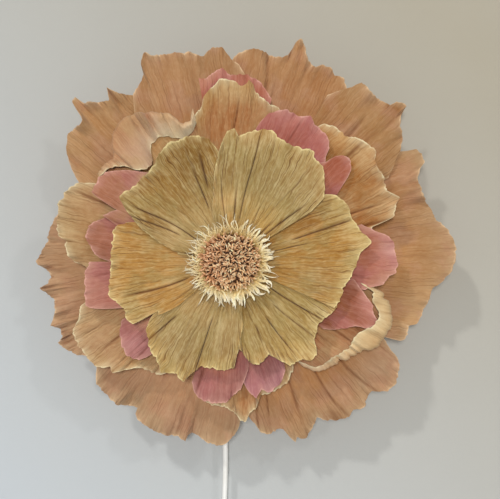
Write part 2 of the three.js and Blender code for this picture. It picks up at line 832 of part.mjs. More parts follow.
function add(name, geometry, color, roughness = 0.9, metalness = 0) {
  const material = new THREE.MeshStandardMaterial({ color, roughness, metalness });
  const mesh = new THREE.Mesh(geometry, material);
  mesh.name = name;
  peony.add(mesh);
}

function addBoard(name, radius, back, front) {
  add(name, disc(radius, stemHole, back, front, DISC_SIDES), BOARD_COLOR);
}

function addPetals(prefix, petals, layer, color) {
  petals.forEach((item, i) => {
    add(`${prefix}_${i + 1}`, petal({ layer, ...item }), color);
  });
}

add("back_plate", backPlate(), STEEL_COLOR, 0.5, 0.6);
add("lamp_base", lampBase(), WHITE_PLASTIC, 0.6);
add("base_screw_left", baseScrew(-BOSS_OFFSET), STEEL_COLOR, 0.35, 0.9);
add("base_screw_right", baseScrew(BOSS_OFFSET), STEEL_COLOR, 0.35, 0.9);
add("cord_gland", cordGland(), WHITE_PLASTIC, 0.6);
add("terminal_block", terminalBlock(), WHITE_PLASTIC, 0.5);
add("stem_tube", tube(STEM_RADIUS, STEM_BORE_RADIUS, stemBack, stemFront), STEEL_COLOR, 0.4, 0.9);
add(
  "stem_nut_back",
  hexagon(NUT_RADIUS, stemHole, backNutFront - NUT_THICK, backNutFront),
  STEEL_COLOR,
  0.4,
  0.9,
);
add(
  "stem_nut_front",
  hexagon(NUT_RADIUS, stemHole, frontNutBack, frontNutBack + NUT_THICK),
  STEEL_COLOR,
  0.4,
  0.9,
);
addBoard("outer_board", OUTER_BOARD_RADIUS, outerBoardBack, outerBoardFront);
addBoard("mid_board", MID_BOARD_RADIUS, midBoardBack, midBoardFront);
addBoard("inner_board", INNER_BOARD_RADIUS, innerBoardBack, innerBoardFront);
add("led_board", ledBoard(), LED_BOARD_COLOR, 0.5);
add("spacer_tube", tube(SPACER_RADIUS, stemHole, spacerBack, spacerFront), BOARD_COLOR);
addBoard("front_board", FRONT_BOARD_RADIUS, frontBoardBack, frontBoardFront);
addBoard("centre_disc", CENTRE_DISC_RADIUS, centreDiscBack, centreDiscFront);

addPetals("outer_petal", OUTER_PETALS, OUTER_LAYER, OUTER_COLOR);
addPetals("mid_petal", MID_PETALS, MID_LAYER, MID_COLOR);
addPetals("inner_petal", INNER_PETALS, INNER_LAYER, INNER_COLOR);
addPetals("front_petal", FRONT_PETALS, FRONT_LAYER, FRONT_COLOR);

add("fringe_back", fringe(0, 0), FRINGE_COLOR);
add("fringe_front", fringe(1, 1), FRINGE_COLOR);
add("stamen_head", stamenHead(), STAMEN_COLOR);

const tailPoints = [[TAIL_X, TAIL_TOP], [TAIL_X, PLUG_TOP + CLEARANCE]];
add("cord_tube", cordTube(CORD_POINTS, CORD_DEPTH), WHITE_PLASTIC, 0.6);
add("cord_coil", cordCoil(), WHITE_PLASTIC, 0.6);
add("cord_tie", cordTie(), WHITE_PLASTIC, 0.6);
add("cord_tail", cordTube(tailPoints, TAIL_DEPTH), WHITE_PLASTIC, 0.6);
add("plug_body", plugBody(), WHITE_PLASTIC, 0.6);
add("plug_pin_left", plugPin(-1), STEEL_COLOR, 0.35, 0.9);
add("plug_pin_right", plugPin(1), STEEL_COLOR, 0.35, 0.9);

export default peony;
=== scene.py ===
import math
from collections import namedtuple

import bpy
import numpy as np
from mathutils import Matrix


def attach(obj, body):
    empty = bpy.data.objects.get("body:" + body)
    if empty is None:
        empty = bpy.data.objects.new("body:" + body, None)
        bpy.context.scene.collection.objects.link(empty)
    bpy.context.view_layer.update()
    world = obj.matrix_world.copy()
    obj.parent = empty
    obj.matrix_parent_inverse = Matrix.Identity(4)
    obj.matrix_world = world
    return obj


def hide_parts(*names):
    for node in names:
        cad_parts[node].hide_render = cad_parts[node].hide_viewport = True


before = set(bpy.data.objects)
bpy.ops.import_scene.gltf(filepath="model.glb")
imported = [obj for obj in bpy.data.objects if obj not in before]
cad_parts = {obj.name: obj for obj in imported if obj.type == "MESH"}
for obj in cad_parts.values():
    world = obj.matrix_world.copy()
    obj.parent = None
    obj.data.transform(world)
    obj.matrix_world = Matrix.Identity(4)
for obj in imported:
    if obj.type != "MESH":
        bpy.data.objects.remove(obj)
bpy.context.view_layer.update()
scene = bpy.context.scene

MM = 0.001
PAPER = 0.8  # how thick a sheet is, as in the CAD source
PITCH = 1.4  # from one sheet to the next in a stack


def place(degrees, radius, depth):
    """Points in metres from angles, radii and depths."""
    turn = np.radians(degrees)
    return np.stack([radius * np.cos(turn), -depth + 0 * turn, radius * np.sin(turn)], -1) * MM


def smooth(value, low, high):
    share = np.clip((value - low) / (high - low), 0, 1)
    return share * share * (3 - 2 * share)


def blend(low, high, share):
    return low * (1 - share) + high * share


def add_object(name, data):
    thing = bpy.data.objects.new(name, data)
    scene.collection.objects.link(thing)
    return thing


# Camera

camera = add_object("camera", bpy.data.cameras.new("camera"))
camera.data.lens = 103.8
camera.data.sensor_width = 36
camera.location = (0.020, -1.6, 0.0128)
camera.rotation_euler = (math.pi / 2, 0, 0)
scene.camera = camera
scene.view_settings.view_transform = "Standard"

# Cord

CORD = 5.6
CORD_DEPTH = 16
CORD_ROUTE = [
    (-8, -86), (-8, -98), (-8, -112), (-7.9, -128), (-7.8, -144), (-7.7, -160), (-7.5, -176),
    (-7.3, -192), (-7.1, -206), (-7, -220), (-7.1, -234), (-7.4, -246), (-7.8, -257),
]  # fmt: skip
BEND_RADIUS = 28
BEND_CENTRE = (-36, -266.6)
COIL_RADIUS = 33.6
COIL_CENTRE = (-2, -327.6)
COIL_START = 135
COIL_TURNS = 7.125
# Where the strands of the coil's bundle lie, out and to the front in cord diameters, as they are wound
STRANDS = [(1, 0), (0.5, -0.866), (-0.5, -0.866), (-1, 0), (-0.5, 0.866), (0, 0), (0.5, 0.866), (0, 1.732)]
TAIL_X = -38.4
TAIL_DEPTH = 23
PLUG_TOP = -363.7
BEND_ANGLES = np.linspace(0, -45, 7)
STEPS_A_TURN = 36
CROSSINGS_A_TURN = 6  # a change to the next strand takes one of these shares of a turn


def cord_points():
    """x, depth and z of the cord's middle, from the gland to the plug."""
    points = [(x, CORD_DEPTH, z) for x, z in CORD_ROUTE]
    for turn in np.radians(BEND_ANGLES):
        x, z = np.array(BEND_CENTRE) + BEND_RADIUS * np.array([math.cos(turn), math.sin(turn)])
        points.append((x, CORD_DEPTH, z))
    for turns in np.linspace(0, COIL_TURNS, int(COIL_TURNS * STEPS_A_TURN)):
        strand = int(turns + 0.5)
        crossed = smooth((turns - strand) * CROSSINGS_A_TURN, -0.5, 0.5)
        out, front = blend(np.array(STRANDS[max(strand - 1, 0)]), np.array(STRANDS[strand]), crossed)
        turn = math.radians(COIL_START + 360 * turns)
        radius = COIL_RADIUS + out * CORD
        x, z = np.array(COIL_CENTRE) + radius * np.array([math.cos(turn), math.sin(turn)])
        points.append((x, CORD_DEPTH + front * CORD, z))
    x, depth, z = points[-1]
    for share in (0.25, 0.5, 0.75, 1):
        ease = smooth(share, 0, 1)
        points.append((blend(x, TAIL_X, ease), blend(depth, TAIL_DEPTH, ease), blend(z, PLUG_TOP, share)))
    return [(x * MM, -depth * MM, z * MM) for x, depth, z in points]


def cord_piece():
    curve = bpy.data.curves.new("cord", "CURVE")
    curve.dimensions = "3D"
    curve.bevel_depth = 1  # times each point's radius
    curve.bevel_resolution = 3
    curve.use_fill_caps = True
    points = cord_points()
    spline = curve.splines.new("POLY")
    spline.points.add(len(points) - 1)
    for point, co in zip(spline.points, points):
        point.co = (*co, 1)
        point.radius = CORD / 2 * MM
    spline.use_smooth = True
    piece = add_object("cord", curve)
    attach(piece, "root")
    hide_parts("cord_tube", "cord_coil", "cord_tail")
    return piece


cord = cord_piece()

# Colours and node graphs


def linear(text):
    """The linear colour of a hexadecimal sRGB colour."""
    part = np.array([int(text[i : i + 2], 16) for i in (0, 2, 4)]) / 255
    return np.where(part <= 0.04045, part / 12.92, ((part + 0.055) / 1.055) ** 2.4)


def ramp(stops, share):
    """Colours along a share from 0 to 1; stops are hexadecimal, evenly spaced."""
    table = np.array([linear(c) for c in stops])
    at = np.linspace(0, 1, len(stops))
    return np.stack([np.interp(share, at, table[:, i]) for i in range(3)], -1)


class Graph:
    """The nodes of a material or world, each made by a short call that returns its output."""

    def __init__(self, owner, shader="Principled BSDF"):
        self.owner = owner
        owner.use_nodes = True
        self.tree = owner.node_tree
        self.shader = self.tree.nodes[shader]

    def link(self, value, socket):
        """Sets a socket to an output, a number, a vector or a hexadecimal colour."""
        if isinstance(value, str):
            value = linear(value)
        if hasattr(value, "is_linked"):
            self.tree.links.new(value, socket)
        elif hasattr(value, "__len__"):
            socket.default_value = (*value, 1)[: len(socket.default_value)]
        else:
            socket.default_value = value

    def set(self, **values):
        for name, value in values.items():
            self.link(value, self.shader.inputs[name.replace("_", " ").title().replace("Ior", "IOR")])

    def node(self, kind, output=0, inputs=(), **settings):
        node = self.tree.nodes.new("ShaderNode" + kind)
        for name, value in settings.items():
            setattr(node, name, value)
        for key, value in dict(inputs).items():
            self.link(value, node.inputs[key])
        return node.outputs[output]

    def attribute(self, name, output="Vector"):
        return self.node("Attribute", output, attribute_name=name)

    def position(self):
        return self.node("NewGeometry", "Position")

    def math(self, operation, a, b=0.0):
        return self.node("Math", 0, {0: a, 1: b}, operation=operation)

    def plus(self, a, b):
        return self.math("ADD", a, b)

    def times(self, a, b):
        return self.math("MULTIPLY", a, b)

    def over(self, a, b):
        return self.math("DIVIDE", a, b)

    def off(self, a, b):
        """How far a is from b."""
        return self.math("ABSOLUTE", self.math("SUBTRACT", a, b))

    def split(self, vector):
        node = self.tree.nodes.new("ShaderNodeSeparateXYZ")
        self.link(vector, node.inputs[0])
        return node.outputs

    def vector(self, x, y, z=0.0):
        return self.node("CombineXYZ", 0, {0: x, 1: y, 2: z})

    def noise(self, vector, scale=1.0, detail=2.0, roughness=0.5):
        values = {"Vector": vector, "Scale": scale, "Detail": detail, "Roughness": roughness}
        return self.node("TexNoise", 0, values)

    def streaks(self, x_scale, z_scale, detail=2.0):
        """Noise by place, with its own scale along x and z."""
        x, y, z = self.split(self.position())
        return self.noise(self.vector(self.times(x, x_scale), y, self.times(z, z_scale)), 1, detail)

    def span(self, value, low, high, start=0.0, end=1.0):
        """value from low to high becomes start to end, and no more."""
        return self.node("MapRange", 0, {0: value, 1: low, 2: high, 3: start, 4: end})

    def mix(self, factor, a, b, blend="MIX"):
        return self.node("Mix", 2, {0: factor, 6: a, 7: b}, data_type="RGBA", blend_type=blend)

    def bump(self, height, distance, strength=1.0):
        """distance is how many metres the height 0 to 1 stands for."""
        values = {"Strength": strength, "Distance": distance, "Height": height}
        self.link(self.node("Bump", 0, values), self.shader.inputs["Normal"])


def material_graph(name, roughness):
    graph = Graph(bpy.data.materials.new(name))
    graph.set(roughness=roughness)
    return graph


# Wall, floor and light


def plane(name, centre, across, up, material):
    """A flat sheet that faces across x up."""
    corners = [np.dot((1, i, j), (centre, across, up)) for i, j in ((-1, -1), (1, -1), (1, 1), (-1, 1))]
    mesh = bpy.data.meshes.new(name)
    mesh.from_pydata(corners, [], [(0, 1, 2, 3)])
    mesh.materials.append(material)
    add_object(name, mesh)


def clear_from_behind(graph, *rays):
    """The material, with nothing there from behind or for these kinds of ray."""
    hidden = graph.node("NewGeometry", "Backfacing")
    for ray in rays:
        hidden = graph.math("MAXIMUM", hidden, graph.node("LightPath", ray))
    clear = graph.node("BsdfTransparent")
    seen = graph.node("MixShader", 0, {0: hidden, 1: graph.shader.outputs[0], 2: clear})
    graph.link(seen, graph.tree.nodes["Material Output"].inputs[0])
    return graph.owner


def wall_material():
    """Pale paint, warmer at the top and right."""
    graph = material_graph("wall_paint", 0.85)
    x, _, z = graph.split(graph.position())
    warm = graph.span(graph.plus(x, z), -0.5, 0.5)
    paint = graph.mix(warm, "c0c6ca", "aea796")
    mottle = graph.noise(graph.position(), 9, 4)
    paint = graph.mix(graph.span(mottle, 0.3, 0.7, 0, 0.05), paint, "d2d0c8")
    graph.set(base_color=paint, specular_ior_level=0.1)
    graph.bump(graph.noise(graph.position(), 260, 3), 0.0004, 0.25)
    return clear_from_behind(graph, "Is Shadow Ray", "Is Glossy Ray")


def floor_material():
    graph = material_graph("floor_paint", 0.8)
    mottle = graph.noise(graph.position(), 3, 3)
    graph.set(base_color=graph.mix(mottle, "cfcdc8", "d6d4cf"))
    return clear_from_behind(graph)


plane("wall", (0, 0.0004, 0.4), (3, 0, 0), (0, 0, 1.6), wall_material())
plane("floor", (0, -1.5, -1.2), (3, 0, 0), (0, 1.5, 0), floor_material())


# The suns' names, ways they shine, strengths, softness in degrees and colours
SUNS = [
    ("front", (0.05, 1, -0.1), 1.5, 8, (1, 1, 1)),
    ("key", (0.4, 0.66, -0.63), 0.75, 4, (1, 0.985, 0.96)),
    ("second", (-0.5, 0.72, -0.48), 0.25, 5, (1, 1, 1)),
    ("rear", (0.2, -0.9, -0.35), 0.6, 14, (1, 1, 1)),
]
WORLD_LIGHT = 0.38
WORLD_SEEN = 0.8  # as the camera and reflections see it


def sun(name, direction, strength, softness, color):
    lamp = add_object(name, bpy.data.lights.new(name, "SUN"))
    lamp.data.energy = strength
    lamp.data.angle = math.radians(softness)
    lamp.data.color = color
    x, y, z = np.array(direction, float) / np.linalg.norm(direction)
    lamp.rotation_euler = (math.acos(-z), 0, math.atan2(-x, y))


def light():
    for row in SUNS:
        sun(*row)
    world = bpy.data.worlds.new("world")
    scene.world = world
    graph = Graph(world, "Background")
    by_camera, by_glossy = (graph.node("LightPath", ray) for ray in ("Is Camera Ray", "Is Glossy Ray"))
    seen = graph.math("MAXIMUM", by_camera, by_glossy)
    graph.set(color="ffffff", strength=graph.span(seen, 0, 1, WORLD_LIGHT, WORLD_SEEN))


light()

# Meshes


def outward(points, faces):
    """The faces, turned round where they point in."""
    triangles = np.concatenate([f[:, [0, i, i + 1]] for f in faces for i in range(1, f.shape[1] - 1)])
    a, b, c = (points[triangles[:, i]] for i in range(3))
    return [f[:, ::-1] for f in faces] if (a * np.cross(b, c)).sum() < 0 else faces


def new_piece(name, points, faces, material, smooth_below, tint, **vectors):
    """A mesh from arrays: points (n, 3), a list of faces (m, 3), (m, 4) and so on, and a colour and
    other vectors for each point."""
    mesh = bpy.data.meshes.new(name)
    faces = outward(points, faces)
    corners = np.concatenate([f.ravel() for f in faces]).astype(np.int32)
    sides = np.concatenate([np.full(len(f), f.shape[1]) for f in faces]).astype(np.int32)
    mesh.vertices.add(len(points))
    mesh.vertices.foreach_set("co", np.asarray(points, np.float32).ravel())
    mesh.loops.add(len(corners))
    mesh.loops.foreach_set("vertex_index", corners)
    mesh.polygons.add(len(sides))
    mesh.polygons.foreach_set("loop_start", (np.cumsum(sides) - sides).astype(np.int32))
    mesh.polygons.foreach_set("loop_total", sides)
    for key, values in vectors.items():
        layer = mesh.attributes.new(key, "FLOAT_VECTOR", "POINT")
        layer.data.foreach_set("vector", np.asarray(values, np.float32).ravel())
    color = np.concatenate([tint, np.ones_like(tint[..., :1])], -1)
    layer = mesh.attributes.new("tint", "FLOAT_COLOR", "POINT")
    layer.data.foreach_set("color", color.astype(np.float32).ravel())
    mesh.update()
    mesh.validate()
    mesh.polygons.foreach_set("use_smooth", np.ones(len(mesh.polygons), bool))
    mesh.set_sharp_from_angle(angle=math.radians(smooth_below))
    mesh.materials.append(material)
    return add_object(name, mesh)


def stand_for(piece, cad_node):
    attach(piece, "root")
    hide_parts(cad_node)


def value_noise(x, y, seed, around=None):
    """Smooth noise from -1 to 1. With around, x repeats after that many cells."""

    def corner(ix, iy):
        if around:
            ix = ix % around
        value = (ix * 374761393 + iy * 668265263 + seed * 974634777) & 0xFFFFFFFF
        value = ((value ^ (value >> 13)) * 1274126177) & 0xFFFFFFFF
        return ((value ^ (value >> 16)) & 0xFFFF) / 32767.5 - 1

    x, y = np.broadcast_arrays(np.asarray(x, float), np.asarray(y, float))
    ix, iy = np.floor(x).astype(np.int64), np.floor(y).astype(np.int64)
    fx, fy = smooth(x - ix, 0, 1), smooth(y - iy, 0, 1)
    low = blend(corner(ix, iy), corner(ix + 1, iy), fx)
    high = blend(corner(ix, iy + 1), corner(ix + 1, iy + 1), fx)
    return blend(low, high, fy)


# Petals

Layer = namedtuple(
    "Layer", "root foot flat reach rise spread wave waves phase fold crease ruffle seed across along cells"
)
# How the sheets of a layer leave their board and rise, as in the CAD source, in millimetres; how
# they are folded, in broad folds, sharp creases and the ruffle of the rim, in millimetres; then
# degrees from column to column, millimetres from row to row and creases in the round.
LAYERS = {
    "outer": Layer(42, 37.6, 63, 212, 15, 3, 3.4, 13, 0.6, 2.8, 1.8, 6, 11, 0.46, 2.6, 64),
    "mid": Layer(30, 42.4, 53, 186, 38, 4, 2.4, 11, 0.2, 1.6, 1.4, 4, 23, 0.46, 2.2, 60),
    "inner": Layer(24, 47.2, 41, 166, 42, 2, 1.2, 14, 1, 1.2, 0.9, 2.4, 37, 0.55, 2.2, 66),
    "front": Layer(20, 87.2, 33, 134, 14, 2.8, 1.6, 9, 0.4, 1.7, 2.4, 3.4, 53, 0.44, 1.7, 62),
}
PETAL_EDGE = 50  # degrees from which an edge between faces is sharp
STRIP_EDGE = 35
SEAT = 0.3  # between a board and the first sheet on it
HIDDEN_ROWS = 6  # under the board in front
LIP_STEPS = 13  # round a rolled rim, and again back over the petal

# Petals. A block starts with the name, the layer, the level in its stack and the colours of root,
# body and tip. A line with a star is a spot: angle, radius, size, colour and strength. Then comes the
# rim as angle,radius pairs, clockwise. Outlines and colours are taken one by one.
# Most root colours are painted lighter than the paper, the pink inner petals' most of all: painted light that
# offsets the shade which the petals in front cast there.
PETAL_BLOCKS = """
O1 outer 1 b98759 ac7f55 a57c53
* 149 212 9 85552f 0.6
* 128 205 12 a06c44 0.4
124,184 120.5,208 118,212 115,222 114.5,233 112.5,242 111.5,236 109.5,234 107.5,233 105,233 103.5,228
101.5,229 99.5,224 97.5,222 96.5,227 94.5,231 92.5,230 91.5,225 90,216 88,212 84,191

O2 outer 0 ac764a aa7b50 ac8055
* 64 215 10 a06a3c 0.5
92,206 88.5,222 86.5,227 84,230 81,227 78,225 76,225 74.5,230 74,238 73.5,247 72.5,251 71,244 70.5,239
69,231 66.5,227 65.5,232 63,233 61,229 58.5,231 57.5,227 52,206

O3 outer 1 ac784c a4794a a67f55
* 43 240 9 8a5428 0.6
* 48 215 14 ae8458 0.5
* 56 192 12 9e683a 0.6
60,206 55.5,226 54.5,232 54,237 52,236 50,235 47,236 44.5,239 44,246 42.5,252 41.5,251 41,243 39,232
37.5,230 35.5,225 33.5,217 32,208 28,191

O4 outer 0 bc8752 a97d50 ac8962
* 22 195 20 a87448 0.5
* -14 208 20 c69c6c 0.8
36,199 32,224 31.5,232 29.5,234 27.5,234 26,226 24.5,218 20.5,217 15.5,220 11.5,224 10.5,229 8.5,235
5.5,240 2,241 1,240 -2.5,235 -3.5,233 -5.5,226 -7.5,218 -11,215 -14,214 -16,214 -19,209 -20,203 -22.5,205
-25,202 -25.5,197 -26,184 -28,176

O5 outer 1 bd8856 a97d55 ab8863
* -36 195 18 b89474 0.8
* -57 200 8 7c4a26 0.6
-24,165 -27,183 -29,194 -30,204 -31.5,211 -35,217 -37,219 -39.5,218 -41.5,210 -42.5,204 -45,206 -46.5,208
-47,213 -49,210 -50.5,205 -52.5,208 -55.5,205 -59.5,198 -61,191 -63.5,197 -66,204 -68,206 -69.5,201
-70.5,205 -71.5,199 -73,188 -74.5,186 -77,190 -80,186 -81.5,177 -84,165

O6 outer 0 c69770 b08865 a88968
* -68 205 8 8a5630 0.6
* -105 185 10 9a6850 0.5
-84,155 -86.5,166 -87.5,179 -90,190 -92,196 -94.5,197 -98.5,195 -101.5,190 -103,189 -104,192 -104.5,199
-107.5,197 -110,199 -113,199 -116,200 -120,198 -122,196 -122.5,188 -124,188 -128.5,197 -131,196 -134.5,195
-137.5,196 -141.5,185 -144,176

O7 outer 1 b38862 ad8560 b89471
* -176 200 10 9a6e4e 0.5
-140,165 -144,180 -147.5,187 -149,193 -151.5,199 -155,206 -156,197 -159,198 -160.5,205 -162,201 -164.5,195
-168,195 -171,203 -172,209 -173,199 -175,194 -177,196 -178,201 -180,211 -182.5,204 -186.5,198 -191,197
-196,191 -200,178

O8 outer 0 ae7f53 ab7f51 b48d62
* 148 178 14 c09468 0.7
156,176 153,184 149,202 145.5,215 142.5,221 139.5,221 137.5,216 136,220 135,241 133.5,243 133,230
130.5,224 128,218 127,216 125.5,231 125,223 123.5,216 120.5,208 116,199 112,184

M1 mid 1 b97e4b ab7445 ab834f
* 76 168 10 b48262 0.5
104,158 100.5,166 99.5,176 94.5,189 93.5,192 87.5,190 84.5,192 83,188 81.5,180 79,175 76.5,171 74,170
72,167 68,140

M2 mid 0 b98c58 b98c58 b07c58
148,166 146,169 141.5,167 138.5,164 133,183 130,185 128.5,188 124,187 112.5,169 111,161 110,155 106,153
104,166

M3 mid 1 b98b5e b08759 b4956c
* 153 152 12 a87458 0.6
188,121 183,151 181,156 180,165 177,173 172.5,176 171.5,183 167,188 163,188 161.5,191 159.5,188 157.5,190
152.5,180 150,165 148,151

M4 mid 0 c29165 b18962 b8946d
* 228 150 12 c6a06c 0.7
244,121 238.5,140 229,147 223,171 221,168 218,181 212.5,182 206.5,184 203,181 201,172 196.5,165 192,140

M5 mid 1 a86c40 ae7545 b89267
* 276 140 10 9c6438 0.6
304,115 300.5,129 299,133 294.5,141 288.5,144 282.5,145 279.5,157 277,160 275,170 273.5,167 272,160
267.5,153 261,151 258.5,148 256,140 252,121

M6 mid 0 c88d5b ba7f54 ba8c66
* -52 135 12 b08060 0.5
* -17 150 10 b07048 0.6
-8,140 -10.5,154 -11.5,164 -13.5,165 -14,171 -17,175 -19.5,179 -22,181 -26,180 -30.5,177 -32.5,173
-33.5,167 -36,164 -39,160 -40.5,159 -42,154 -45,154 -49,151 -53,145 -56,130

M7 mid 1 ba753b 9e672c b48250
* 48 180 12 c49c66 0.7
* 19 178 12 cca678 0.8
* 18 158 8 a26a34 0.6
60,151 57,171 56,175 53.5,179 50,180 48.5,178 46,182 42.5,189 40,191 37.5,192 35.5,185 32.5,182 30,183
27,180 24.5,180 22.5,185 21,190 19,183 15.5,178 15,172 14.5,167 14,154 12,151

P1 mid 0 a65c46 a65c46 aa664e
* 97 195 9 b47c5c 0.6
100,195 98,195 95,200 92.5,204 90.5,197 86,198 83,196 80.5,191 78,183 76,177

P2 inner 1 de9f82 a87052 aa7356
* 139 121 8 f4d0a4 0.9
* 157 119 8 cc9c74 0.7
164,115 160,143 155.5,131 155,142 154.5,150 154,158 153.5,163 150.5,164 148,164 144.5,160 141,152 138,143
135,134 132,124

P3 inner 0 cc8c6c a86a50 a06a50
184,115 179.5,130 178,139 174,148 170.5,155 168,155 164,151 161.5,142 157.5,134 152,120

P4 inner 1 bc7a64 b57564 b27c6a
204,118 202,131 198.5,153 196.5,158 188,154 184,153 180,148

P5 inner 0 e8a890 ac706c ac7670
* 218 130 8 b47c7c 0.6
* 212 111 8 f0b890 0.9
* 212 128 9 98604c 0.7
232,120 229.5,126 229,131 227,141 222.5,147 219,145 216,143 212,138 208,129

P6 inner 1 d38a70 a5685d 98625a
280,110 275,132 267.5,148 262,149 258.5,148 255.5,145 252,133

P7 inner 0 b47164 9a6360 a06c6f
* 280 138 8 b07c80 0.7
300,115 297.5,118 297,126 293.5,135 288.5,142 285.5,143 283.5,137 280.5,146 278,139 276,129

P8 inner 1 a86638 8a4a2e ac6f5a
* -16 152 9 c88c80 0.8
* -30 130 9 94562e 0.7
* -13 131 9 8e4e2e 0.7
-8,129 -13,142 -15.5,151 -17,155 -20,159 -22,165 -24.5,163 -26.5,158 -27,148 -32,134 -36,120

P9 inner 0 b76e4a a66349 b7826a
* 4 168 9 c89890 0.7
* 0 158 8 b87868 0.6
16,143 11.5,156 9.5,167 7,171 3,172 -0.5,176 -1,176 -4,172 -5.5,165 -8.5,162 -10.5,148 -12,144

P10 inner 0 ad6b4c a85e50 b06a60
* 70 162 10 be8070 0.6
80,139 77.5,153 76,160 73.5,164 69.5,170 66.5,168 64.5,168 61.5,174 58.5,169 53.5,167 50.5,161 49,157
48,148 46,142 44,134

P11 inner 1 c47852 aa6147 a45d43
48,139 46,145 45.5,154 43.5,161 41,164 38.5,161 36,152 34,140 32,129

F1 front 4 cca65e a78c55 a88249
* 46 116 14 b09462 0.7
* 68 88 16 9c8655 0.5
* 98 114 13 7c5820 0.9
* 96 58 10 e4bc7c 0.7
112,50 108,62 104.5,70 98,104 94.5,122 91.5,135 88.5,137 86.5,129 84,133 79,138 74.5,141 72.5,143 69,137
65.5,135 62.5,135 59.5,137 57,138 55,142 52.5,141 51.5,137 48.5,137 45.5,135 42.5,130 38,124 34.5,117
32,98

F2 front 3 ccae74 9e7a3d 8e662a
* 160 80 18 ab8c58 0.6
* 108 86 12 967238 0.5
* 112 114 14 7e5c22 0.8
* 157 60 12 dcbc84 0.6
172,56 170,55 157,108 153.5,121 149.5,133 146,130 144,128 134,125 128.5,127 123.5,133 117.5,138 113.5,136
109,137 104.5,134 100,129 96,113

F3 front 2 c99c5c b78742 b98a47
* 204 108 18 c29a5c 0.7
* 167 82 14 ae8244 0.5
220,72 216,94 214,90 213.5,99 213,110 212.5,119 208.5,123 203.5,120 198.5,127 195,132 189.5,126 181,124
174,124 168,124 165,126 161.5,122 158.5,111 156,100 152,80

F4 front 1 b6965f a98d5a bb9858
* 222 62 12 bc9a62 0.6
* 245 88 14 9c8454 0.6
284,46 281.5,57 281,67 278.5,76 273.5,99 271.5,110 266.5,113 259,112 254,113 250,124 248.5,134 244,129
238,135 232,126 228,124 219.5,114 216,106 212,88

F5 front 0 8e6c2c a88d52 c09e62
* 287 82 14 9c7c46 0.5
* 308 108 14 ccaa68 0.6
344,84 340,110 337,120 331,115 323.5,112 317,119 313,131 309,133 306.5,126 304,125 299.5,124 295,110
292.5,103 290,106 285.5,111 281,107 277,93 272,86 268,70 264,50

F6 front 1 ae8038 b0813a c4a466
* 28 88 14 b48446 0.5
* -13 88 16 a88550 0.6
40,100 36,118 33.5,127 28.5,133 22,133 18.5,134 12.5,139 10,145 7.5,146 5,137 3.5,134 -3,129 -7.5,125
-13.5,120 -19.5,120 -24,117
"""

Lip = namedtuple("Lip", "end at_fold at_end roll lies")
# Rolled rims: where the paper ends that comes back over the petal, its colours at the fold and at
# its end, evenly spaced from the first angle, and the roll's radius. Clockwise from the first of
# the last two angles to the second, the end of the paper comes to lie on the petal.
LIPS = {
    "M2": Lip(
        "148,165 144,163 141,158 138,150 136,138 132,130 128,133 124,150 120,152 116,146 112,139 108,141 "
        "104,152",
        ["ae7952", "ad7454", "ae7654", "b8866a", "cda284", "dab890"],
        # M2's last end colours, f4e8c6 and fbf2d4, are a painted highlight, lighter than the lip's cream
        # paper to offset the shade where its end slopes down
        ["c29470", "b98d78", "c6a492", "d6bca4", "f4e8c6", "fbf2d4"],
        4.5,
        (-131, -126),
    ),
    "M6": Lip(
        "-8,133 -12,152 -16,156 -20,165 -24,163 -28,156 -32,150 -36,152 -40,150 -44,146 -48,145 -52,139 "
        "-56,126",
        ["cdb284", "d2b88a", "cfb284", "caa27c", "c49a7c"],
        ["d8c294", "ddc698", "dcc496", "d8b894", "d6b09a"],
        7.5,
        (70, 80),
    ),
}

Petal = namedtuple("Petal", "layer level stops spots rim")
Sheet = namedtuple("Sheet", "degrees radius depth edge crease share tint")


def read_petals(text):
    petals = {}
    for block in text.strip().split("\n\n"):
        head, *lines = block.split("\n")
        name, layer, level, *stops = head.split()
        spots = [line.split()[1:] for line in lines if line[0] == "*"]
        rim = " ".join(line for line in lines if line[0] != "*")
        petals[name] = Petal(layer, int(level), stops, spots, rim)
    return petals


PETALS = read_petals(PETAL_BLOCKS)


def track(text):
    """Angles, rising, and radii from 'angle,radius' pairs."""
    pairs = np.array([[float(x) for x in pair.split(",")] for pair in text.split()])
    return pairs[np.argsort(pairs[:, 0])].T


def layer_rise(layer, radius):
    share = np.clip((radius - layer.flat) / (layer.reach - layer.flat), 0, 1)
    return np.sin(share * math.pi / 2)


def layer_depth(layer, level, degrees, radius):
    """The sheet's depth as the CAD has it, without its fold lines."""
    rise = layer_rise(layer, radius)
    wave = layer.wave * np.cos(layer.waves * np.radians(degrees) + layer.phase) * rise**2
    foot = layer.foot + SEAT + PAPER / 2 + level * PITCH
    return foot + rise * (layer.rise + level * layer.spread) + wave


def layer_creases(layer, degrees, radius):
    """Pinched lines that run outwards, one to a cell: 1 at their middle, and a swell beside them."""
    cells = layer.cells
    turn = degrees / 360
    x = turn * cells + 0.4 * value_noise(turn * 15, radius / 60, layer.seed + 1, 15)
    cell = np.floor(x)

    def pick(k):
        return 0.5 + 0.5 * value_noise(cell, k, layer.seed + 4, cells)

    reach = layer.reach - layer.flat
    away = np.abs(x - cell - 0.25 - 0.5 * pick(0)) / cells * 2 * math.pi * radius
    start = layer.flat + reach * (pick(1) - 0.35).clip(0) * 0.8
    end = start + reach * (0.25 + 0.8 * pick(2))
    inside = smooth(radius, start - 4, start + 6) * (1 - smooth(radius, end - 30, end))
    depth = (0.25 + 0.75 * smooth(pick(3), 0.5, 0.75)) * inside
    width = (0.9 + 0.9 * pick(5)) * (0.6 + radius / 150)
    pinch = np.clip(1 - away / width, 0, 1) * depth
    swell = np.exp(-(((away - 2.2 * width) / width) ** 2)) * depth
    return pinch, swell


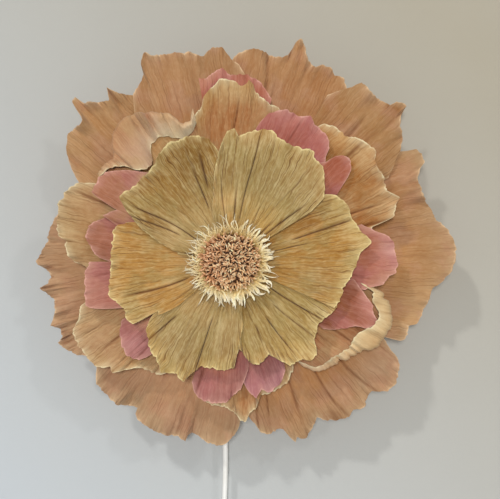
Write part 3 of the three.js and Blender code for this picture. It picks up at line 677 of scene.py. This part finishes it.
def layer_folds(layer, degrees, radius):
    """Folds that all sheets of a layer share, so that they nest, and how deep each crease is."""
    turn = degrees / 360
    seed = layer.seed
    free = smooth(radius, layer.flat - 4, layer.flat + 12)
    sway = 0.35 * value_noise(turn * 30, radius / 50, seed + 1, 30)
    broad = value_noise(turn * 44 + sway, radius / 80, seed + 2, 44)
    narrow = value_noise(turn * 100 + sway, radius / 60, seed + 3, 100)
    pinch, swell = layer_creases(layer, degrees, radius)
    height = layer.fold * (0.7 * broad + 0.35 * narrow) + layer.crease * (0.35 * swell - pinch)
    return height * free, pinch * free


def own_shape(layer, degrees, radius, rim_radius, seed):
    """What is the petal's own: a ruffle that grows to the rim, a flutter there, and a slow cupping."""
    edge = rim_radius - radius
    near = np.clip(1 - edge / (0.24 * layer.reach), 0, 1)
    wave = np.radians(degrees) * rim_radius
    ruffle = value_noise(wave / 13, edge / 40, seed + 2) + 0.45 * value_noise(wave / 5.5, edge / 25, seed + 3)
    curl = value_noise(wave / 30, 0, seed + 4)
    own = layer.ruffle * (near**2 * ruffle + 0.8 * near**3 * curl)
    tips = np.clip(value_noise(wave / 10, 3, seed + 6), -0.2, 1)
    own = own + layer.ruffle * np.clip(1 - edge / 13, 0, 1) ** 2 * tips
    cupping = 0.5 * layer.fold * value_noise(degrees / 9, radius / 40, seed + 5)
    return own + cupping * layer_rise(layer, radius)


def paper_sheet(petal, layer, seed):
    """Rows of a petal's middle surface, root first, and what its material needs at each point."""
    angles, radii = track(petal.rim)
    columns = max(12, int((angles[-1] - angles[0]) / layer.across))
    degrees = np.linspace(angles[-1], angles[0], columns)[None, :]
    rim_radius = np.interp(degrees, angles, radii)
    arc = np.radians(degrees) * 0.8 * layer.reach
    rim_radius = rim_radius + 0.9 * value_noise(arc / 3.1, 0, seed)
    rim_radius = rim_radius + 0.7 * value_noise(arc / 1.3, 0, seed + 1)
    free_side = smooth(np.minimum(angles[-1] - degrees, degrees - angles[0]), 2, 13)
    hidden = layer.flat + 6
    whole = layer.reach - layer.root
    under = np.linspace(0, 1, HIDDEN_ROWS + 1)[:-1] * (hidden - layer.root) / whole
    seen = np.linspace(hidden - layer.root, whole, int((layer.reach - hidden) / layer.along)) / whole
    share = np.concatenate([under, seen])[:, None]
    radius = layer.root + share * (rim_radius - layer.root)
    depth = layer_depth(layer, petal.level, degrees, radius)
    height, crease = layer_folds(layer, degrees, radius)
    depth = depth + height
    depth = depth + own_shape(layer, degrees, radius, rim_radius, seed) * free_side
    degrees, share = degrees + 0 * radius, share + 0 * radius
    tint = petal_tint(petal, degrees, radius, share)
    return Sheet(degrees, radius, depth, rim_radius - radius, crease, share, tint)


def normals(points):
    """Unit normals of a grid of points, towards the front."""
    along = np.gradient(points, axis=0)
    across = np.gradient(points, axis=1)
    normal = np.cross(across, along)
    normal /= np.maximum(np.linalg.norm(normal, axis=-1, keepdims=True), 1e-12)
    front = np.sign(-(normal[..., 1].mean()))
    return normal * front


def sheet_faces(rows, columns):
    """Quads of a closed sheet whose front grid comes first and back grid second."""
    front, back = np.arange(2 * rows * columns).reshape(2, rows, columns)

    def quads(a, b, c, d):
        return np.stack([a, b, c, d], -1).reshape(-1, 4)

    faces = [
        quads(front[:-1, :-1], front[:-1, 1:], front[1:, 1:], front[1:, :-1]),
        quads(back[:-1, :-1], back[1:, :-1], back[1:, 1:], back[:-1, 1:]),
    ]
    for edge in (np.s_[-1], np.s_[0, ::-1], np.s_[::-1, 0], np.s_[:, -1]):
        a, b = front[edge], back[edge]
        faces.append(quads(a[:-1], a[1:], b[1:], b[:-1]))
    return np.concatenate(faces)


def petal_tint(petal, degrees, radius, share):
    """The petal's colour at each point, before the material's streaks and specks."""
    root, body, tip = (linear(c) for c in petal.stops)
    # Painted light: on all but the front petals the lightened root colour reaches out to a share of 0.62 to
    # 0.84, over the shade cast by the petals in front
    fade = (0.15, 0.6) if petal.layer == "front" else (0.62, 0.84)
    color = blend(root, body, smooth(share, *fade)[..., None])
    color = blend(color, tip, smooth(share, 0.8, 1.0)[..., None])
    for *place_and_size, hue, strength in petal.spots:
        angle, at, size = (float(x) for x in place_and_size)
        away = ((degrees - angle) * math.pi / 180 * at) ** 2 + (radius - at) ** 2
        spot = float(strength) * np.exp(-away / (2 * size**2))[..., None]
        color = blend(color, linear(hue), spot)
    return color


def roll_rim(lip, root, sheet, seed):
    """Takes the last of the sheet in a half circle to the front and back over the petal."""
    degrees, rim, base = sheet.degrees[-1], sheet.radius[-1], sheet.depth[-1]
    turn_at = np.radians(degrees)
    wide = value_noise(turn_at * 160 / 11, 0, seed + 8)
    ragged = value_noise(turn_at * 160 / 2.6, 0, seed + 7)
    end = np.minimum(np.interp(degrees, *track(lip.end)) + 1.5 * wide + 1.2 * ragged, rim - 3)
    roll = np.minimum(lip.roll * (1 + 0.15 * wide), (rim - end) / 2 - PAPER / 4)
    start = rim - roll
    squeezed = root + (sheet.radius - root) * (start - root) / (rim - root)
    turn = np.linspace(0, math.pi, LIP_STEPS + 1)[1:, None]
    back = np.linspace(0, 1, LIP_STEPS + 1)[1:, None]
    new_radius = np.concatenate([start + roll * np.sin(turn), start + (end - start) * back])
    flutter = value_noise(turn_at * 150 / 9, 0, seed + 9) * 2.2 + value_noise(turn_at * 150 / 4, 0, seed + 10)
    free = base + 2 * roll + back * (1.5 + flutter)
    below = np.array([np.interp(at, r, d) for at, r, d in zip(end, squeezed.T, sheet.depth.T)])
    touching = base + 2 * roll + (below + 2.2 + np.abs(flutter) / 2 - base - 2 * roll) * back**1.3
    lies = smooth(-degrees, *lip.lies)
    new_depth = np.concatenate([base + roll - roll * np.cos(turn), blend(free, touching, lies)])
    span = np.concatenate([turn * roll, roll * math.pi + back * (start - end)])
    along_rim = (degrees.max() - degrees) / np.ptp(degrees)
    at_fold, at_end = (ramp(stops, along_rim)[None] for stops in (lip.at_fold, lip.at_end))
    tint = blend(sheet.tint[-1][None], at_fold, smooth(span, 0, roll)[..., None])
    tint = blend(tint, at_end, smooth(span, 1.5 * roll, span[-1:])[..., None])
    ones = np.ones(new_radius.shape)
    old = sheet._replace(radius=squeezed, edge=sheet.edge + 20)
    new = Sheet(degrees * ones, new_radius, new_depth, np.abs(end - new_radius), 0 * ones, ones, tint)
    return Sheet(*(np.concatenate(pair) for pair in zip(old, new)))


def add_petal(name, material, cad_node):
    petal = PETALS[name]
    layer = LAYERS[petal.layer]
    seed = layer.seed * 7 + sum(ord(c) for c in name) * 13
    sheet = paper_sheet(petal, layer, seed)
    if name in LIPS:
        sheet = roll_rim(LIPS[name], layer.root, sheet, seed)
    points = place(sheet.degrees, sheet.radius, sheet.depth)
    half = normals(points) * PAPER / 2 * MM
    across = np.radians(sheet.degrees - sheet.degrees.mean()) * (0.55 * layer.reach + 0.45 * sheet.radius)
    crepe = [np.stack([across, sheet.radius, np.full_like(across, side)], -1) for side in (0, 1)]
    marks = np.stack([sheet.edge, sheet.crease, sheet.share], -1)
    both = np.stack([points + half, points - half]).reshape(-1, 3)
    piece = new_piece(
        cad_node + "_paper", both, [sheet_faces(*across.shape)], material, PETAL_EDGE,
        np.stack([sheet.tint] * 2), crepe=np.stack(crepe), marks=np.stack([marks] * 2),
    )  # fmt: skip
    stand_for(piece, cad_node)


Paper = namedtuple("Paper", "back rim bright dark patch streak lines folds speck grain")
# Crepe papers: the colours of the back, the cut rim, light and dark streaks, and patches; then how
# strong streaks, dark lines, the painted shade in the creases, specks and ridges are.
PAPERS = {
    "outer": Paper("b08460", "e0c098", "ffdcb4", "d8b08c", "b48668", 0.14, 0.3, 0.5, 0.1, 0.5),
    "mid": Paper("c09a6c", "efe0b6", "ffe2b0", "d4aa7c", "b8986a", 0.22, 0.4, 0.7, 0.1, 0.5),
    "inner": Paper("a8685c", "dca898", "ffc8b8", "d8a890", "b2706e", 0.16, 0.3, 0.5, 0, 0.5),
    "front": Paper("ac9058", "f0dca0", "ffeebc", "c8a26c", "a48e56", 0.3, 0.65, 0.85, 0.25, 0.7),
}


def paper_material(name, paper):
    """Crepe paper: fine ridges that run outwards, streaks of colour, painted shade in its creases, a pale cut
    edge.
    Sizes are millimetres across the sheet and along it."""
    graph = material_graph(name, 0.88)
    across, along, side = graph.split(graph.attribute("crepe"))
    edge, crease, _ = graph.split(graph.attribute("marks"))
    color = graph.attribute("tint", "Color")

    def at(wide, long, depth=0.0):
        return graph.vector(graph.over(across, wide), graph.over(along, long), depth)

    def shaken(value, noise, size):
        return graph.plus(value, graph.times(graph.math("SUBTRACT", noise, 0.5), size))

    def cells(wide, long, offset, detail=2.0):
        return graph.noise(at(wide, long, graph.plus(side, offset)), 1, detail, 0.55)

    def darken(color, factor, by=paper.dark):
        return graph.mix(factor, color, graph.mix(1, color, by, "MULTIPLY"))

    def lighten(color, factor):
        return graph.mix(factor, color, graph.mix(0.5, color, paper.bright))

    across = shaken(across, graph.noise(at(15, 17, side)), 7)
    fine, medium, wide, blotch = cells(1, 26, 3), cells(2.6, 40, 7), cells(9, 60, 13), cells(24, 28, 21, 3)
    crumple = cells(3, 6, 71, 3)
    color = graph.mix(graph.span(cells(30, 32, 61, 3), 0.48, 0.62, 0, 0.5), color, paper.patch)
    for pattern, amount in ((blotch, 1.0), (wide, 0.8), (medium, 0.8), (fine, 1.2), (crumple, 0.9)):
        color = lighten(color, graph.span(pattern, 0.5, 0.75, 0, paper.streak * amount))
        color = darken(color, graph.span(pattern, 0.25, 0.5, paper.streak * amount, 0))
    color = darken(color, graph.span(cells(1.5, 75, 41, 1.0), 0.6, 0.7, 0, paper.lines), "8a5f30")
    # Painted shade: the creases are darkened towards 96683a, as shade in the folds
    color = darken(color, graph.span(crease, 0.1, 0.9, 0, paper.folds), "96683a")
    dots = graph.noise(at(2.2, 5), 1, 1)
    color = graph.mix(graph.span(dots, 0.76, 0.8, 0, paper.speck), color, "7d6038")
    color = graph.mix(graph.times(side, 0.35), color, paper.back)
    far = graph.span(along, 60, 105, 0.25, 1)
    worn = graph.times(graph.span(cells(16, 60, 51), 0.4, 0.55), far)
    ragged = shaken(edge, cells(4, 30, 53), 5)
    color = graph.mix(graph.times(graph.span(ragged, 1, 9, 0.3, 0), worn), color, paper.rim)
    color = graph.mix(graph.times(graph.span(ragged, 0.3, 1.8, 0.8, 0), worn), color, paper.rim)
    graph.set(base_color=color, specular_ior_level=0.22, sheen_weight=0.1, sheen_roughness=0.5)
    graph.set(roughness=graph.span(fine, 0.3, 0.7, 0.8, 0.95))
    ridges = graph.plus(cells(0.9, 20, 31), graph.times(medium, 0.5))
    graph.bump(graph.plus(ridges, crumple), 0.001, paper.grain)
    return graph.owner


CAD_PREFIX = {"O": "outer_petal_", "M": "mid_petal_", "P": "inner_petal_", "F": "front_petal_"}
CREPE = {name: paper_material(name + "_crepe", paper) for name, paper in PAPERS.items()}
for name, petal in PETALS.items():
    # The pink petals are of the inner paper on every board
    paper = CREPE["inner" if name[0] == "P" else petal.layer]
    add_petal(name, paper, CAD_PREFIX[name[0]] + name[1:])

# Fringe and stamens


def grow(radius, degrees, depth, length, pitch, yaw):
    """Paths in millimetres that start at radii, angles and depths and go a length each. Pitch is
    the way's angle from the flower's axis and yaw its angle from straight out."""
    turn = np.radians(degrees)[:, None]
    out = np.stack([np.cos(turn), 0 * turn, np.sin(turn)], -1)
    side = np.stack([-np.sin(turn), 0 * turn, np.cos(turn)], -1)
    pitch, yaw = (np.radians(a)[..., None] for a in np.broadcast_arrays(pitch, yaw))
    way = np.cos(pitch) * [0, -1, 0] + np.sin(pitch) * (np.cos(yaw) * out + np.sin(yaw) * side)
    steps = way * (length / (pitch.shape[1] - 1))[:, None, None]
    start = out * radius[:, None, None]
    start[..., 1] = -depth[:, None]
    path = start + np.cumsum(steps, 1) - steps
    return path, np.cos(yaw) * side - np.sin(yaw) * out, way


def ribbons(path, across, way, width, thick, tint):
    """Closed flat strips along paths, as points in metres, faces and a colour for each point."""
    normal = np.cross(way, across)
    half, skin = across * width[..., None] / 2, normal * thick / 2
    corners = np.stack([path + half + skin, path - half + skin, path - half - skin, path + half - skin], 2)
    index = np.arange(corners.size // 3).reshape(corners.shape[:3])
    a, b = index[:, :-1], index[:, 1:]
    walls = np.stack([a, b, np.roll(b, -1, 2), np.roll(a, -1, 2)], -1).reshape(-1, 4)
    ends = np.concatenate([index[:, 0], index[:, -1, ::-1]])
    color = np.broadcast_to(tint[:, :, None], corners.shape)
    return corners.reshape(-1, 3) * MM, [walls, ends], color.reshape(-1, 3)


def turned(profile, sides):
    """Points in metres and faces of a profile of radius and depth turned about the flower's axis. It
    starts and ends on the axis, or else it closes on itself."""
    profile = np.array(profile, float)
    capped = profile[0, 0] == 0
    ring = profile[1:-1] if capped else profile
    degrees = np.arange(sides) * 360 / sides
    points = place(degrees[None, :], ring[:, :1], ring[:, 1:]).reshape(-1, 3)
    index = np.arange(len(points)).reshape(-1, sides)
    here, there = (index[:-1], index[1:]) if capped else (index, np.roll(index, -1, 0))
    faces = [np.stack([here, there, np.roll(there, -1, 1), np.roll(here, -1, 1)], -1).reshape(-1, 4)]
    if capped:
        ends = np.array([(0, -profile[0, 1], 0), (0, -profile[-1, 1], 0)]) * MM
        first, last = len(points), len(points) + 1
        points = np.concatenate([points, ends])
        faces.append(np.stack([index[0], np.roll(index[0], -1), np.full(sides, first)], -1))
        faces.append(np.stack([np.roll(index[-1], -1), index[-1], np.full(sides, last)], -1))
    return points, faces


def merged(parts):
    """One set of points, faces and colours from several."""
    points, faces, colors, count = [], [], [], 0
    for more, sides, tint in parts:
        faces += [f + count for f in outward(more, sides)]
        count += len(more)
        points.append(more)
        colors.append(np.broadcast_to(tint, more.shape))
    return np.concatenate(points), faces, np.concatenate(colors)


def strip_material(name, shade):
    """Cut crepe: its own colour at each point, with fine darker grain."""
    graph = material_graph(name, 0.85)
    grain = graph.noise(graph.position(), 900, 2)
    tint = graph.attribute("tint", "Color")
    darker = graph.mix(1, tint, shade, "MULTIPLY")
    color = graph.mix(graph.span(grain, 0.35, 0.6, 0.45, 0), tint, darker)
    graph.set(base_color=color, specular_ior_level=0.25, sheen_weight=0.15, sheen_roughness=0.4)
    graph.bump(grain, 0.0003, 0.6)
    return graph.owner


def strip_piece(name, parts, material, node):
    points, faces, color = merged(parts)
    piece = new_piece(name, points, faces, material, STRIP_EDGE, color)
    stand_for(piece, node)


STAMENS = 620
STAMEN_BACK = 99
STAMEN_RADIUS = 31
GOLDEN_ANGLE = 137.508
# Radius and depth of the pad that the stamens stand on, round its cross-section
STAMEN_DOME = [
    (0, 101.4), (9.2, 101.4), (9.2, STAMEN_BACK), (28, STAMEN_BACK), (29.5, 100.4), (28, 103), (20, 104.4),
    (10, 105.2), (0, 105.4),
]  # fmt: skip


def stamens():
    """A wound strip cut into filaments whose tips curl over."""
    random = np.random.default_rng(7)

    def vary(spread):
        return random.normal(0, spread, STAMENS)

    index = np.arange(STAMENS)
    share = np.sqrt((index + 0.5) / STAMENS)
    degrees = index * GOLDEN_ANGLE + vary(4)
    left = smooth(-np.cos(np.radians(degrees)), 0.1, 0.8) * share
    low = smooth(-np.sin(np.radians(degrees)), 0.2, 0.8) * share
    radius = 0.84 * STAMEN_RADIUS * share + vary(0.3).clip(-0.7, 0.7)
    depth = STAMEN_BACK + 2.5 + 2.5 * np.sqrt(1 - share**2)
    length = 12 - share + 2.5 * left + vary(1.1)
    along = np.linspace(0, 1, 13)[None, :]
    hook = random.uniform(60, 210, STAMENS)[:, None] * smooth(along, 0.42, 1.0)
    lean = (3 + 26 * share**1.4 + 12 * left + vary(7))[:, None]
    turned_in = 180 * (random.random(STAMENS) < 0.3 * (1 - share))
    yaw = (vary(45) + turned_in)[:, None] * smooth(along, 0.2, 0.5)
    path, across, way = grow(radius.clip(0.1), degrees, depth, length, lean + hook, yaw)
    width = (1.3 + 0.3 * low + vary(0.18))[:, None]
    width = width * (1 - 0.45 * smooth(along, 0.75, 1))
    # Painted shade and highlight: each filament runs from dark at its foot, where the filaments crowd and
    # shade one another, to light at its curled tip; the tan and rosy ramps hold the paper's hue between.
    foot_shade_to_tip_highlight = np.clip(along * 1.2 - 0.12 + vary(0.08)[:, None], 0, 1)
    tan = ramp(["40260f", "80522c", "ba8856", "e0b482", "f6e0b4"], foot_shade_to_tip_highlight)
    rosy = ramp(["4c2a16", "8c5834", "be8458", "d8a074", "f0c49a"], foot_shade_to_tip_highlight)
    mix = np.clip(0.3 + 0.8 * left - 0.3 * low + vary(0.25), 0, 1)[:, None, None]
    tint = blend(tan, rosy, mix) * np.exp(vary(0.18))[:, None, None]
    strips = ribbons(path, across, way, width, 0.35, tint.clip(0, 0.92))
    dome = (*turned(STAMEN_DOME, 48), linear("5c3a20"))
    material = strip_material("stamen_crepe", "a87850")
    strip_piece("stamen_filaments", [strips, dome], material, "stamen_head")


# Tufts of the fringe: angle, how far out, strip width, strips, how far they fan and bend back
TUFTS = [
    (45, 45, 2.4, 6, 22, 75), (33, 40, 1.4, 3, 8, 30), (58, 44, 0.9, 3, 12, 60), (76, 45, 2, 4, 14, 60),
    (92, 51, 0.9, 3, 4, -30), (98, 44, 0.8, 3, 10, 50), (120, 42, 1, 5, 20, 60), (138, 46, 1.1, 7, 20, 80),
    (20, 45, 2.6, 5, 12, 60), (13, 41, 1.8, 3, 6, 30), (3, 43, 2.6, 6, 12, 65), (0, 48, 0.9, 1, 0, 0),
    (-14, 45, 1.3, 3, 8, 80), (-21, 48, 1.2, 3, 6, 40), (-27, 43, 1, 3, 8, 60), (-40, 49, 2.8, 6, 14, 50),
    (-52, 41, 1.6, 4, 10, 40), (-63, 43, 2.8, 6, 14, 45), (-74, 40, 2, 4, 8, 30), (-84, 46, 2.6, 6, 10, 40),
    (-94, 41, 2.2, 5, 10, 30), (-104, 42, 2.6, 8, 18, 50), (-119, 44, 2, 6, 14, 50),
    (-131, 49, 1.6, 2, 4, 20), (-142, 45, 1.3, 7, 16, 70), (-158, 46, 1.1, 7, 18, 80),
    (-172, 44, 0.9, 6, 18, 80), (172, 45, 0.9, 6, 16, 80), (157, 46, 1, 7, 18, 90),
]  # fmt: skip


SKIRT_STRIPS = 340
WHISKERS = 300
BAND = (13, 30.5)  # radii of a paper ring that carries the strips
BACK_BAND = 96.5  # how far from the wall
FRONT_BAND = 97.9


def fringe_strips(random, degrees, radius, reach, width, lift, curl, stops, sway, bend=0.0):
    """Strips that stand up from the ring and bend outwards; curl is the last turn of their tips, bend
    how far they turn sideways, and sway how far they waver."""
    count = len(degrees)
    along = np.linspace(0, 1, 16)[None, :]
    length = (reach - radius) * 1.22 + 4 + np.abs(curl) / 30
    pitch = blend(lift[:, None], 84, smooth(along, 0, 0.4)) + curl[:, None] * smooth(along, 0.55, 1)
    swing, twist, wave = (random.normal(0, sway, count)[:, None] for _ in range(3))
    yaw = swing * np.sin(along * 3) + 1.6 * twist * along**3 + 0.7 * wave * np.sin(along * 8 + twist)
    back = 1.9 * smooth(along, 0.45, 1) - 0.7 * smooth(along, 0.05, 0.4)
    yaw = yaw + np.reshape(bend, (-1, 1)) * back
    path, across, way = grow(radius, degrees, random.uniform(98, 101, count), length, pitch, yaw)
    narrow = width[:, None] * (1 - 0.1 * along) * (1 - 0.85 * smooth(along, 0.66, 1))
    tint = ramp(stops, along + 0 * pitch) * np.exp(random.normal(0, 0.1, count))[:, None, None]
    return ribbons(path, across, way, narrow, 0.4, tint.clip(0, 0.95))


def fringe():
    random = np.random.default_rng(19)
    cream = ["b48c4c", "d6b878", "ecdcac", "f6eed2", "f8f3de"]
    golden = ["b08844", "c8a460", "dcc084", "ecd8a4"]
    material = strip_material("fringe_crepe", "c8a468")

    def band(depth):
        front, (inner, outer) = depth + PAPER, BAND
        ring = turned([(inner, depth), (outer, depth), (outer, front), (inner, front)], 64)
        return (*ring, linear("c8a764"))

    def scatter(count, spread):
        return np.arange(count) * 360 / count + random.normal(0, spread, count)

    count = SKIRT_STRIPS
    skirt = fringe_strips(
        random, scatter(count, 2), random.uniform(27, 31, count), random.uniform(31, 35.5, count),
        random.uniform(0.9, 1.6, count), random.uniform(-10, 30, count), random.normal(0, 50, count),
        golden, 40,
    )  # fmt: skip
    count = WHISKERS
    degrees = scatter(count, 4)
    left = smooth(-np.cos(np.radians(degrees)), 0.1, 0.8)
    whiskers = fringe_strips(
        random, degrees, random.uniform(28, 31, count),
        random.uniform(32, 37, count) + 10 * left * random.random(count),
        random.uniform(0.45, 0.9, count), random.uniform(0, 40, count), random.normal(-10, 90, count),
        golden[1:] + cream[3:4], 42,
    )  # fmt: skip
    back = [band(BACK_BAND), skirt, whiskers]
    strip_piece("fringe_whiskers", back, material, "fringe_back")
    rows = []
    for angle, far, wide, number, fan, bend in TUFTS:
        for i in range(number):
            across = 2 * (i + 0.5) / number - 1
            at = angle + fan / 2 * across + random.normal(0, 1)
            turn = -bend * across * random.uniform(0.6, 1.3)
            rows.append((at, far + random.normal(-1, 2), wide * random.uniform(0.6, 1.1), turn))
    rows = np.array(rows)
    count = len(rows)
    tufts = fringe_strips(
        random, rows[:, 0], random.uniform(28, 30.5, count), rows[:, 1], rows[:, 2],
        random.uniform(0, 30, count), random.normal(-30, 80, count), cream, 18, rows[:, 3],
    )  # fmt: skip
    strip_piece("fringe_tufts", [band(FRONT_BAND), tufts], material, "fringe_front")


stamens()
fringe()

# Plates, boards, lamp base, cord and plug


def plastic_material(name, shade, deep):
    """Moulded white plastic: a fine satin grain, a little yellowed and dusty in patches."""
    graph = material_graph(name, 0.4)
    patches = graph.noise(graph.position(), 45, 4)
    grain = graph.noise(graph.position(), 1400, 2)
    color = graph.mix(graph.span(patches, 0.4, 0.7), shade, deep)
    graph.set(base_color=color, roughness=graph.span(patches, 0.3, 0.7, 0.36, 0.5))
    graph.bump(grain, 0.0002, 0.25)
    return graph.owner


def steel_material():
    """Zinc plate: cloudy crystals and drawn scratches."""
    graph = material_graph("zinc_steel", 0.4)
    drawn = graph.streaks(60, 2400)
    cloud = graph.noise(graph.position(), 120, 3)
    color = graph.mix(graph.span(cloud, 0.35, 0.65), "a8acb2", "c2c5c8")
    color = graph.mix(graph.span(drawn, 0.6, 0.7, 0, 0.3), color, "8a8d90")
    graph.set(base_color=color, metallic=1.0, roughness=graph.span(drawn, 0.3, 0.7, 0.3, 0.5))
    graph.bump(drawn, 0.0002, 0.3)
    return graph.owner


def board_material():
    """Birch plywood: long grain on the faces and dark glue lines between the plies at the edge."""
    graph = material_graph("birch_plywood", 0.6)
    _, y, z = graph.split(graph.position())
    warp = graph.streaks(9, 40, 3)
    grain_at = graph.plus(graph.times(z, 260), graph.times(warp, 9))
    rings = graph.math("PINGPONG", grain_at, 1.0)
    fibre = graph.streaks(90, 3000)
    color = graph.mix(graph.span(rings, 0.1, 0.9, 0, 0.5), "caa678", "b08a58")
    color = graph.mix(graph.span(fibre, 0.55, 0.75, 0, 0.35), color, "9a7446")
    turned_away = graph.math("ABSOLUTE", graph.split(graph.node("NewGeometry", "Normal"))[1])
    ply = graph.math("PINGPONG", graph.times(y, 1250), 0.5)
    glue = graph.times(graph.span(ply, 0.05, 0.12, 0.7, 0), graph.span(turned_away, 0.3, 0.6, 1, 0))
    color = graph.mix(glue, color, "6e4c2a")
    graph.set(base_color=color, roughness=graph.span(fibre, 0.3, 0.7, 0.5, 0.7))
    graph.bump(fibre, 0.0003, 0.3)
    return graph.owner


LED_CHIPS = 24
CHIP_RING = 0.028
TRACK_RING = 0.0225


def led_board_material():
    """White solder mask with a ring of yellow chips and thin copper tracks under it."""
    graph = material_graph("led_solder_mask", 0.3)
    x, _, z = graph.split(graph.position())
    flat = graph.vector(x, 0.0, z)
    radius = graph.node("VectorMath", "Value", {0: flat}, operation="LENGTH")
    turn = graph.times(graph.math("ARCTAN2", z, x), LED_CHIPS / (2 * math.pi))
    near_turn = graph.span(graph.off(graph.math("PINGPONG", turn, 0.5), 0.25), 0.09, 0.1, 1, 0)
    near_ring = graph.span(graph.off(radius, CHIP_RING), 0.0015, 0.0017, 1, 0)
    chip = graph.times(near_turn, near_ring)
    tracks = graph.span(graph.off(radius, TRACK_RING), 0.0006, 0.0007, 0.25, 0)
    mottle = graph.noise(graph.position(), 300, 2)
    color = graph.mix(mottle, "e2e3dc", "ecece6")
    color = graph.mix(tracks, color, "b8b49c")
    graph.set(base_color=graph.mix(chip, color, "e8c840"))
    graph.set(roughness=graph.span(chip, 0, 1, 0.3, 0.55))
    graph.bump(chip, 0.0006, 0.5)
    return graph.owner


WELD = 0.01  # points nearer than this become one
BEVEL = 0.35
SHARP = math.radians(35)


def dress_nodes():
    """Softens the edges of the carried-over nodes and gives each its material."""
    for name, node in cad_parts.items():
        mesh = node.data
        slot = mesh.materials[0].name.split(".")[0]
        if slot not in HARD_MATERIALS or name in ("cord_tube", "cord_coil", "cord_tail"):
            continue
        mesh.materials.clear()
        mesh.materials.append(HARD_MATERIALS[slot])
        if "custom_normal" in mesh.attributes:
            mesh.attributes.remove(mesh.attributes["custom_normal"])
        mesh.polygons.foreach_set("use_smooth", np.ones(len(mesh.polygons), bool))
        weld = node.modifiers.new("weld", "WELD")
        weld.merge_threshold = WELD * MM
        bevel = node.modifiers.new("bevel", "BEVEL")
        bevel.width = BEVEL * MM
        bevel.segments = 2
        bevel.limit_method = "ANGLE"
        bevel.angle_limit = SHARP
        bevel.harden_normals = True


HARD_MATERIALS = {
    "steel": steel_material(),
    "board": board_material(),
    "led_board": led_board_material(),
    "white_plastic": plastic_material("white_moulding", "e8e6e0", "ddd8cc"),
}
dress_nodes()
cord.data.materials.append(plastic_material("white_flex", "f0f0ec", "e4e2da"))
